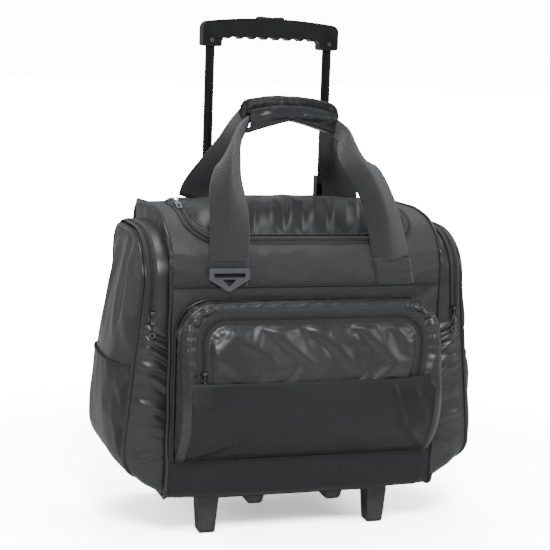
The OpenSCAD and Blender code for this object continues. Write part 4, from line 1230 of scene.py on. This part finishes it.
@dataclass
class SidePocket:
    """A zipped side pocket: gathered gusset, domed outer face, lower slip pocket and piping."""

    shop: Workshop
    side: int
    slip_top: float = 0.233
    edge: float = 0.032
    flare: float = 0.021
    dome: float = 0.0185

    @property
    def label(self) -> str:
        """left or right."""
        return "left" if self.side < 0 else "right"

    def edge_out(self, z: Array) -> Array:
        """How far the piped edge stands out from the side seam at a height."""
        flared = self.edge + self.flare * np.clip((0.337 - z) / 0.205, 0, 1)
        tuck = np.clip((0.118 - z) / 0.036, 0, 1)
        return flared - 0.024 * tuck ** 2.4

    def ring(self, out: float, count: int) -> Array:
        """The pocket's outline in space, from 0 at the side seam to 1 at the piped edge."""
        f, lift = LAYOUT.front, 0.003 * self.side
        inner = side_outline(f + 0.005, f + 0.207, 0.0615, 0.398, (0.095, 0.060), 0.040, 0.016, count)
        outer = side_outline(f + 0.009, f + 0.200, 0.082, 0.3935 + lift, (0.084, 0.058), 0.042, 0.034, count)
        flat = inner + (outer - inner) * out
        return np.column_stack([self.side * (LAYOUT.half + 0.0005 + self.edge_out(outer[:, 1]) * out), flat])

    def face_x(self, y: Array, z: Array, edge: Array) -> Array:
        """How far the domed face stands out from the middle of the case."""
        v = np.clip((z - 0.082) / (0.394 - 0.082), 0, 1)
        lobe = np.sin(np.pi * v ** 0.78) ** 0.9
        rise = 1 - np.exp(-np.maximum(edge, 0) / 0.026)
        return LAYOUT.half + 0.0005 + self.edge_out(z) + (self.dome * lobe + 0.003) * rise

    def build(self) -> None:
        """Sew the pocket."""
        self.build_gusset()
        self.build_face()
        self.build_trim()

    def build_gusset(self) -> None:
        """The strip from the side seam to the piped edge, with folds that pull in from the seam."""
        count = 340
        inner, outer = self.ring(0, count), self.ring(1, count)
        flat = inner[:, 1:]
        tangent = unit(np.roll(flat, -1, axis=0) - np.roll(flat, 1, axis=0))
        outward = np.column_stack([np.zeros(count), tangent[:, 1], -tangent[:, 0]])
        t = np.linspace(0, 1, 18)[:, None, None]
        points = inner + (outer - inner) * t
        across, up = t[..., 0] + np.zeros(count), points[..., 2]
        front = np.clip((LAYOUT.front + 0.03 - points[..., 1]) / 0.02, 0, 1)
        taped = np.clip((0.285 - up) / 0.02, 0.12, 1)
        ruck = 0.0026 * ripple(points, (10, 30, 26), 13.0 + self.side) * taped
        swell = np.sin(np.pi * across) * (0.0030 + ruck)
        for height, size, lean in ((0.268, 0.0034, 0.010), (0.252, 0.0040, 0.014), (0.236, 0.0036, 0.020),
                                   (0.221, 0.0030, 0.012), (0.200, 0.0022, 0.022), (0.170, 0.0024, 0.016),
                                   (0.146, 0.0018, 0.010), (0.120, 0.0016, -0.012)):
            ridge = (-0.004, height), (0.036, height + lean)
            hollow = (0.0, height - 0.007), (0.026, height - 0.006 + lean)
            swell += front * fold(across * 0.045, up, *ridge, 0.0044, size * 1.5)
            swell -= front * fold(across * 0.045, up, *hollow, 0.0036, size * 0.8)
        points = points + swell[..., None] * outward
        gusset = grid_piece(f"{self.label}_pocket_gusset", points, wrap=True, flip=self.side < 0)
        thicken(gusset, 0.0016, smooth=1)
        self.shop.dress(gusset, "pocket_satin", "case")

    def build_face(self) -> None:
        """The domed face, and the slip pocket over its lower part."""
        outline = self.ring(1, 600)[:, 1:]
        level, start, stop = spans(outline, 84)
        t = np.linspace(0, 1, 56)
        y = start[:, None] + (stop - start)[:, None] * t
        z = np.broadcast_to(level[:, None], y.shape)
        edge = np.minimum(np.minimum(y - start[:, None], stop[:, None] - y),
                          np.minimum(z - level[0], level[-1] - z))
        x = self.side * self.face_x(y, z, np.maximum(edge, 0))
        points = np.stack([x, y, z], axis=-1)
        loose = np.clip(edge / 0.010, 0, 1)
        f = LAYOUT.front
        out = 0.0012 * ripple(points, (1, 20, 9), 20.0 + self.side)
        for start_at, end_at, width, height in (
                ((f + 0.022, 0.262), (f + 0.060, 0.372), 0.010, 0.0036),
                ((f + 0.050, 0.285), (f + 0.080, 0.380), 0.007, -0.0026),
                ((f + 0.060, 0.262), (f + 0.098, 0.382), 0.009, 0.0030),
                ((f + 0.120, 0.250), (f + 0.150, 0.372), 0.012, 0.0028),
                ((f + 0.012, 0.170), (f + 0.030, 0.225), 0.007, 0.0026),
                ((f + 0.012, 0.120), (f + 0.034, 0.180), 0.008, 0.0024),
                ((f + 0.150, 0.110), (f + 0.130, 0.200), 0.014, 0.0026)):
            out = out + fold(y, z, start_at, end_at, width, height)
        points[..., 0] += self.side * out * loose
        face = grid_piece(f"{self.label}_pocket_face", points, flip=self.side < 0)
        held = (edge < 0.0015).astype(float).ravel()
        ClothRecipe(pressure=0.15, slack=0.005, bending=14.0, cap=0.003).settle(face, held)
        settled = np.array([v.co for v in face.data.vertices]).reshape(points.shape)
        rows = int(np.searchsorted(level, self.slip_top))
        skirt = settled[:rows].copy()
        lift = 0.0014 + 0.0022 * (np.arange(rows) / rows)[:, None] ** 3 * np.sin(np.pi * t)[None, :]
        skirt[..., 0] += self.side * lift
        slip = grid_piece(f"{self.label}_slip_pocket", skirt, flip=self.side < 0)
        thicken(slip, 0.0014, smooth=1)
        self.shop.dress(slip, "slip_twill", "case")
        hem = sweep(f"{self.label}_slip_hem", skirt[-1], np.array([1.0, 0, 0]), round_section(0.0013, 8))
        self.shop.dress(hem, "slip_twill", "case")
        thicken(face, 0.0018, smooth=1)
        self.shop.dress(face, "side_satin", "case", (f"{self.label}_pocket",))

    def build_trim(self) -> None:
        """Piping around the face and the zip over the top of the gusset."""
        path = self.ring(1, 340)
        path[:, 0] += self.side * 0.0006
        cord = sweep(f"{self.label}_pocket_piping", path, np.array([1.0, 0, 0]), round_section(0.0026),
                     closed=True)
        replaced = ("side_pocket_piping",) if self.side < 0 else ()
        self.shop.dress(cord, "piping", "case", replaced)
        middle = self.ring(0.68, 600)
        flat = middle[:, 1:]
        tangent = unit(np.roll(flat, -1, axis=0) - np.roll(flat, 1, axis=0))
        outward = np.column_stack([np.full(len(flat), 0.12 * self.side), tangent[:, 1], -tangent[:, 0]])
        taped = middle[:, 2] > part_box(f"{self.label}_pocket_zip")[0].z
        run = middle[taped] + unit(outward[taped]) * 0.0036
        ZipMaker(self.shop, tape_half=0.0068).make(f"{self.label}_zip", run, unit(outward[taped]), "case",
                                                   (f"{self.label}_pocket_zip",))
        self.shop.dress_node(f"{self.label}_slider", "slider_metal", 0.0005)
        self.shop.dress_node(f"{self.label}_pull", "slider_metal", 0.0003)


# ---------------------------------------------------------------- carry handles

@dataclass
class CarryHandles:
    """Four webbing straps, their sewn feet and box stitching, and the padded hand wrap."""

    shop: Workshop
    width: float = 0.0508
    thick: float = 0.0024
    shift: float = -0.003
    drop: float = 0.07

    def strap(self, stations: Sequence[tuple[float, float, float, float, float, float]]) -> bpy.types.Object:
        """Webbing through stations, folding along its length where it narrows.

        Args:
            stations: middle x, y, z, seen width, lean of its edge towards Y and towards Z, from foot to wrap.

        Returns:
            The strap, about as wide along its surface everywhere.
        """
        rows, columns = 60, 17
        both = smooth_path(stations, rows)
        middle, wide = both[:, :3], both[:, 3]
        way = unit(np.gradient(middle, axis=0))
        across = unit(np.column_stack([np.ones(rows), both[:, 4], both[:, 5]]))
        across = unit(across - way * np.sum(across * way, axis=1, keepdims=True))
        front = unit(np.cross(across, way))
        t = np.linspace(-1, 1, columns)
        share = np.clip(wide / self.width, 0.1, 1)
        deep = 0.5 * self.width * np.sqrt(np.clip(1 - share ** 2, 0, 1)) * 0.92
        bow = 1 - np.abs(t) ** 1.6
        points = (middle[:, None] + across[:, None] * (0.5 * wide[:, None] * t)[..., None]
                  + front[:, None] * (deep[:, None] * (bow - 0.75) + 0.0008 * (1 - t ** 2))[..., None])
        piece = grid_piece("strap", points)
        thicken(piece, self.thick, smooth=1, offset=0.0)
        return piece

    def build(self) -> None:
        """Cut the straps, sew their feet and wrap the grip."""
        self.build_straps()
        self.build_feet()
        self.build_wrap()

    def build_straps(self) -> None:
        """Front and rear pairs, each shaped from its sewn foot up to the grip."""
        f = LAYOUT.front
        low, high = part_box("grip_wrap")
        grip_y, grip_z = (low.y + high.y) / 2, (low.z + high.z) / 2 - 0.004
        end = high.x - 0.002
        w = self.width
        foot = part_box("front_webbing")[0].z
        left = self.strap([
            (-0.1080, f - 0.0040, foot - 0.002, w, 0, 0), (-0.1080, f - 0.0042, 0.396, w, 0, 0),
            (-0.1092, f - 0.0040, 0.425, 0.0495, 0, 0), (-0.1112, f - 0.0030, 0.446, 0.0455, 0, 0),
            (-0.1098, f + 0.002, 0.466, 0.0385, 0, 0), (-0.1058, f + 0.012, 0.486, 0.0292, -0.1, 0),
            (-0.0995, f + 0.026, 0.500, 0.0210, -0.2, 0), (-0.0905, f + 0.045, 0.513, 0.0140, -0.3, -0.1),
            (-0.0780, f + 0.068, 0.5245, 0.0115, -0.3, -0.3),
            (-end + self.shift, grip_y - 0.008, grip_z, 0.0115, -0.3, -0.6)])
        right = self.strap([
            (0.1092, f - 0.0040, foot - 0.002, 0.0495, 0, 0), (0.1035, f - 0.0042, 0.392, 0.0470, 0, 0),
            (0.0972, f - 0.0030, 0.421, 0.0440, 0, 0), (0.0900, f - 0.001, 0.442, 0.0420, 0, 0),
            (0.0818, f + 0.003, 0.461, 0.0425, 0, 0), (0.0735, f + 0.009, 0.477, 0.0420, 0, 0),
            (0.0663, f + 0.018, 0.489, 0.0380, 0.1, 0), (0.0640, f + 0.030, 0.499, 0.0340, 0.15, 0),
            (0.0637, f + 0.044, 0.510, 0.0275, 0.2, 0.1), (0.0640, f + 0.062, 0.522, 0.0190, 0.3, 0.2),
            (end + self.shift, grip_y - 0.008, grip_z, 0.0125, 0.3, 0.5)])
        front = join("front_straps", [left, right])
        self.shop.dress(front, "webbing", "case", ("front_webbing",))
        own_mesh(front)
        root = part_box("rear_webbing")[0].z
        left = self.strap([
            (-0.1060, f + 0.183, root, w, 0, 0), (-0.1030, f + 0.180, 0.434, w, 0, 0),
            (-0.0930, f + 0.172, 0.451, 0.0490, 0, 0), (-0.0795, f + 0.160, 0.472, 0.0440, 0, -0.1),
            (-0.0700, f + 0.144, 0.497, 0.0260, 0.2, -0.2), (-0.0660, f + 0.128, 0.518, 0.0150, 0.3, -0.4),
            (-end + self.shift, grip_y + 0.007, grip_z, 0.0115, 0.3, -0.6)])
        right = self.strap([
            (0.1020, f + 0.183, root, w, 0, 0), (0.1012, f + 0.181, 0.434, w, 0, 0),
            (0.0993, f + 0.177, 0.449, w, 0, 0), (0.0857, f + 0.160, 0.479, 0.0410, 0, 0.1),
            (0.0732, f + 0.141, 0.501, 0.0300, -0.2, 0.2), (0.0665, f + 0.126, 0.518, 0.0180, -0.3, 0.4),
            (end + self.shift, grip_y + 0.007, grip_z, 0.0115, -0.3, 0.6)])
        rear = join("rear_straps", [left, right])
        self.shop.dress(rear, "webbing", "case", ("rear_webbing",))
        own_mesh(rear)

    def flat_patch(self, low: tuple[float, float], high: tuple[float, float], y: float,
                   lift: float) -> bpy.types.Object:
        """A flat length of webbing on the front or back, between two middle points (x, z)."""
        t = np.linspace(0, 1, 12)[:, None]
        cols = np.linspace(-self.width / 2, self.width / 2, 9)[None, :]
        x = low[0] + (high[0] - low[0]) * t + cols
        z = low[1] + (high[1] - low[1]) * t + 0 * cols
        out = lift * np.clip((z - 0.352) / 0.014, 0, 1) ** 2
        piece = grid_piece("patch", np.stack([x, y - out, z], axis=-1))
        thicken(piece, 0.0018, smooth=1, offset=0.0)
        return piece

    def build_feet(self) -> None:
        """Sewn feet of all straps, ring loops and crossed box stitching."""
        f, b, foot = LAYOUT.front, LAYOUT.back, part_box("front_webbing")[0].z
        crown = CaseBody(self.shop).crown
        seam = LAYOUT.seam + 0.001
        patches = [self.flat_patch((-0.1080, seam), (-0.1080, foot), f - crown - 0.0004, 0.0002),
                   self.flat_patch((0.1157, seam), (0.1092, foot), f - crown - 0.0004, 0.0002),
                   self.flat_patch((0.104, seam), (0.104, foot), b + crown + 0.0008, 0.0)]
        for x in (-0.106, 0.102):
            path = np.array([[x, f + y, LAYOUT.top + 0.0016] for y in np.linspace(0.173, 0.196, 8)])
            patches.append(sweep("patch", path, np.array([0, 0, 1.0]), tape_section(self.width / 2, 0.0014)))
        for x, y, facing in ((-0.108, f - 0.0041, 1), (0.104, b + 0.0041, -1)):
            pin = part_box("ring_loops")[0].z + 0.0024
            turn = np.radians(np.linspace(-150, 90, 14))
            path = np.column_stack([np.full(14, x), y - facing * 0.0021 * np.sin(turn),
                                    pin - 0.0021 * np.cos(turn)])
            patches.append(sweep("patch", path, unit(path - [x, y, pin]), tape_section(0.0185, 0.0006)))
        self.shop.dress(join("strap_feet", patches), "webbing", "case", ("webbing_tabs", "ring_loops"))
        lines = []
        for low, high, y, way in ((-0.1080, -0.1080, f - crown - 0.0014, -1.0),
                                  (0.1150, 0.1117, f - crown - 0.0014, -1.0),
                                  (0.104, 0.104, b + crown + 0.0018, 1.0)):
            z0, z1 = LAYOUT.seam + 0.004, 0.349
            a, c, d, e = (low - 0.022, z0), (low + 0.022, z0), (high + 0.022, z1), (high - 0.022, z1)
            up = np.array([0, way, 0.001])
            lines.append((resample(np.array([[p[0], y, p[1]] for p in (a, c, d, e, a, d)]), 60), up))
            lines.append((resample(np.array([[p[0], y, p[1]] for p in (e, c)]), 20), up))
        self.shop.dress(stitch_rows("strap_box_stitches", lines), "thread", "case")

    def build_wrap(self) -> None:
        """The padded wrap: a thick arched roll over the straps and a flap that closes in front."""
        low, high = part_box("grip_wrap")
        mid_y = (low.y + high.y) / 2
        half = high.x + 0.0035
        columns, around = 78, 44
        u = np.linspace(-1, 1, columns)
        arch = 0.5490 - 0.0070 * np.abs(u) ** 2.2 - 0.0015 * u
        angle = np.linspace(0, 2 * np.pi, around, endpoint=False)
        ends = 0.72 + 0.28 * np.clip((1 - np.abs(u)) / 0.10, 0, 1) ** 0.45
        across, up = np.cos(angle), np.sin(angle)
        tall = np.where(up > 0, 0.0160, 0.0100)
        y = mid_y + 0.0190 * (0.6 + 0.4 * ends[:, None]) * across
        z = arch[:, None] + tall * ends[:, None] * up
        points = np.stack([np.broadcast_to(half * u[:, None] + self.shift, y.shape), y, z], axis=-1)
        centre = np.stack([half * u + self.shift, np.full(columns, mid_y), arch], axis=1)[:, None]
        points += unit(points - centre) * (0.0008 * ripple(points, (30, 26, 26), 31.0))[..., None]
        caps = [tuple(range(around)), tuple(range(columns * around - 1, (columns - 1) * around - 1, -1))]
        faces = list(grid_faces(columns, around, wrap=True)) + caps
        roll = make_mesh("grip_wrap_roll", points.reshape(-1, 3), faces)
        held = np.zeros((columns, around))
        held[[0, -1]] = 1
        held[:, np.argmin(up)] = 1
        ClothRecipe(pressure=0.5, slack=0.015, bending=6.0, cap=0.002).settle(roll, held.ravel())
        smooth = roll.modifiers.new("smooth", "SUBSURF")
        smooth.levels = smooth.render_levels = 1
        apply_modifiers(roll)
        self.shop.dress(roll, "wrap_cloth", "carry_grip", ("grip_wrap",))
        self.build_flap(high.x - 0.001, mid_y)

    def build_flap(self, half: float, mid_y: float) -> None:
        """The two closing flaps in front, which meet at a notch under the middle, and their turned backs."""
        flaps, seams = [], []
        for side in (-1, 1):
            u = np.linspace(0.0, 1.0, 40)[:, None]
            v = np.linspace(0, 1, 30)[None, :]
            x = side * half * u + self.shift + 0 * v
            top = 0.5535 - 0.0078 * u ** 2.2 - 0.0015 * side * u
            foot = 0.5372 - 0.0165 * u ** 1.15
            roll = np.clip((v - 0.62) / 0.38, 0, 1)
            z = top + (foot - top) * np.clip(v / 0.62, 0, 1) ** 0.92 - 0.0022 * np.sin(np.pi * roll)
            y = mid_y + 0.016 * roll - (0.0196 * np.cos(0.5 * (v / 0.62 - 0.3)) + 0.0016) * (1 - roll)
            points = np.stack([x, y + 0 * u, z], axis=-1)
            soft = 0.0016 * ripple(points, (34, 10, 60), 40.0 + side) + 0.0010 * np.sin(v * 5 + u * 3)
            soft = soft + fold(u + 0 * v, v + 0 * u, (0.10, 0.42), (0.9, 0.20), 0.07, 0.0016)
            soft = soft - fold(u + 0 * v, v + 0 * u, (0.06, 0.58), (0.9, 0.44), 0.06, 0.0012)
            points[..., 1] -= soft * (1 - roll) * np.clip(v / 0.08, 0, 1)
            flap = grid_piece("flap", points, flip=side > 0)
            thicken(flap, 0.0020, smooth=1)
            flaps.append(flap)
            low_edge = points[1:-1, 17] + [0, -0.0014, 0]
            seams.append((low_edge, np.array([0, -1.0, -0.2])))
        flap = join("grip_wrap_flap", flaps)
        self.shop.dress(flap, "flap_satin", "carry_grip")
        self.shop.dress(stitch_rows("grip_wrap_stitches", seams), "thread", "carry_grip")


# ---------------------------------------------------------------- hard parts

@dataclass
class PullHandle:
    """The telescopic handle: moulded grip, button, tubes, collars and bezel."""

    shop: Workshop

    def build(self) -> None:
        """Dress the grip with softened edges, and dress the tubes."""
        self.build_grip()
        for side in ("left", "right"):
            for stage in ("outer", "middle", "inner"):
                edge = 0.0 if stage == "inner" else 0.0016
                self.shop.dress_node(f"{side}_{stage}_tube", "tube_black", edge)
        self.shop.dress_node("middle_collars", "hard_plastic", 0.0012)
        self.shop.dress_node("tube_bezel", "hard_plastic", 0.0015)
        self.shop.dress_node("tube_bracket", "hard_plastic", 0.001)
        self.shop.dress_node("release_button", "hard_plastic", 0.0012)
        self.shop.dress_node("push_rods", "steel")
        self.shop.dress_node("grip_screws", "dark_steel", 0.0002)

    def build_grip(self) -> None:
        """Round the grip over: the CAD piece keeps its shape, and its edges are softened."""
        self.shop.dress_node("pull_grip", "grip_plastic", 0.0032)


@dataclass
class RunningGear:
    """Feet, skid rails, base plate, wheels and their housings."""

    shop: Workshop

    def build(self) -> None:
        """Dress every hard piece under the case."""
        for node, edge in (("base_plate", 0.0015), ("left_foot", 0.0022), ("right_foot", 0.0022),
                           ("skid_rails", 0.0020), ("left_wheel_housing", 0.0012),
                           ("right_wheel_housing", 0.0012)):
            self.shop.dress_node(node, "hard_plastic", edge)
        for side in ("left", "right"):
            self.shop.dress_node(f"{side}_tyre", "tyre_rubber")
            self.shop.dress_node(f"{side}_hub", "hub_plastic", 0.0006)
        self.shop.dress_node("wheel_axles", "steel", 0.0006)
        self.shop.dress_node("base_screws", "steel", 0.0004)


@dataclass
class ShoulderRings:
    """The two moulded rings for a shoulder strap."""

    shop: Workshop

    def build(self) -> None:
        """Dress both rings."""
        for node in ("front_ring", "rear_ring"):
            self.shop.dress_node(node, "ring_plastic", 0.0007)


# ---------------------------------------------------------------- studio

@dataclass(frozen=True)
class Studio:
    """Pale floor, soft lights and the camera.

    Args:
        place: the camera's place, measured from the middle of the front panel at floor level.
        heading: how far the camera is turned towards +X.
        tilt: how far it looks down.
        roll: how far it leans.
        lens: focal length in millimetres on a 36 mm sensor.
        ambient: brightness of the even light all around.
    """

    place: tuple[float, float, float] = (-0.5714, -1.6607, 0.6071)
    heading: float = 17.54
    tilt: float = 8.566
    roll: float = 2.02
    lens: float = 91.67
    ambient: float = 0.42

    def build(self) -> None:
        """Set up the floor, world, lights and camera."""
        self.build_camera()
        self.build_floor()
        self.build_lights()

    def build_camera(self) -> None:
        """Aim the camera by its heading, tilt and roll."""
        heading, tilt, roll = (math.radians(a) for a in (self.heading, self.tilt, self.roll))
        forward = Vector((math.sin(heading) * math.cos(tilt), math.cos(heading) * math.cos(tilt),
                          -math.sin(tilt)))
        level = Vector((math.cos(heading), -math.sin(heading), 0))
        above = level.cross(forward)
        right = math.cos(roll) * level + math.sin(roll) * above
        up = -math.sin(roll) * level + math.cos(roll) * above
        camera = bpy.data.objects.new("camera", bpy.data.cameras.new("camera"))
        bpy.context.scene.collection.objects.link(camera)
        rotation = Matrix((right, up, -forward)).transposed().to_4x4()
        spot = Vector(self.place) + Vector((0, LAYOUT.front, 0))
        camera.matrix_world = Matrix.Translation(spot) @ rotation
        camera.data.lens = self.lens
        camera.data.sensor_width = 36
        bpy.context.scene.camera = camera

    def build_floor(self) -> None:
        """A plain pale floor, exposed like the white studio behind it."""
        floor = make_mesh("studio_floor", np.array([[-40, -40, 0], [40, -40, 0], [40, 40, 0], [-40, 40, 0]]),
                          [(0, 1, 2, 3)])
        material = bpy.data.materials.new("studio_floor")
        material.use_nodes = True
        graph = Graph(material.node_tree)
        material.node_tree.nodes.remove(material.node_tree.nodes["Principled BSDF"])
        seen = graph.add("ShaderNodeLightPath").outputs["Is Camera Ray"]
        place = graph.add("ShaderNodeNewGeometry").outputs["Position"]
        away = graph.add("ShaderNodeVectorMath", {0: place}, operation="LENGTH").outputs["Value"]
        exposed = graph.tint(graph.spread(away, 0.6, 2.2, 0, 1), (10.5, 10.4, 10.2, 1), (40, 40, 40, 1))
        color = graph.tint(seen, (0.80, 0.795, 0.785, 1), exposed)
        shader = graph.add("ShaderNodeBsdfDiffuse", {"Color": color})
        output = material.node_tree.nodes["Material Output"]
        material.node_tree.links.new(shader.outputs[0], output.inputs["Surface"])
        floor.data.materials.append(material)

    def build_lights(self) -> None:
        """A bright even world, seen as white, and soft panels for the gloss."""
        world = bpy.data.worlds.new("studio_world")
        bpy.context.scene.world = world
        world.use_nodes = True
        graph = Graph(world.node_tree)
        seen = graph.add("ShaderNodeLightPath").outputs["Is Camera Ray"]
        strength = graph.spread(seen, 0, 1, self.ambient, 14.0)
        background = world.node_tree.nodes["Background"]
        background.inputs[0].default_value = (0.97, 0.985, 1.0, 1)
        world.node_tree.links.new(strength, background.inputs[1])
        for name, spot, size, power in (("key", (-0.5, -1.9, 2.0), 0.8, 44),
                                        ("fill", (1.9, -1.2, 1.3), 0.9, 14),
                                        ("top", (0.1, 0.4, 2.4), 1.3, 24), ("rim", (-1.9, 0.5, 1.1), 0.8, 7)):
            data = bpy.data.lights.new(name, "AREA")
            data.shape, data.size, data.energy = "DISK", size, power
            light = bpy.data.objects.new(name, data)
            bpy.context.scene.collection.objects.link(light)
            light.location = spot
            light.rotation_euler = (Vector((0, 0, 0.28)) - Vector(spot)).to_track_quat("-Z", "Y").to_euler()


def write_sizes() -> None:
    """Define a helper that turns a box into plain lists of numbers; nothing is recorded."""
    def plain(box: Sequence[Vector]) -> list[list[float]]:
        """A box as plain lists of numbers."""
        return [[float(value) for value in corner] for corner in box]


def main() -> None:
    """Build the case, part by part, in its studio."""
    logging.basicConfig(level=logging.INFO, format="%(message)s")
    Studio().build()
    shop = Workshop()
    parts = [CaseBody(shop), Lid(shop), FrontPocket(shop), SidePocket(shop, -1), SidePocket(shop, 1),
             CarryHandles(shop), ShoulderRings(shop), PullHandle(shop), RunningGear(shop)]
    for part in parts:
        part.build()
        LOG.info("%s done", type(part).__name__)
    write_sizes()


if __name__ == "__main__":
    main()
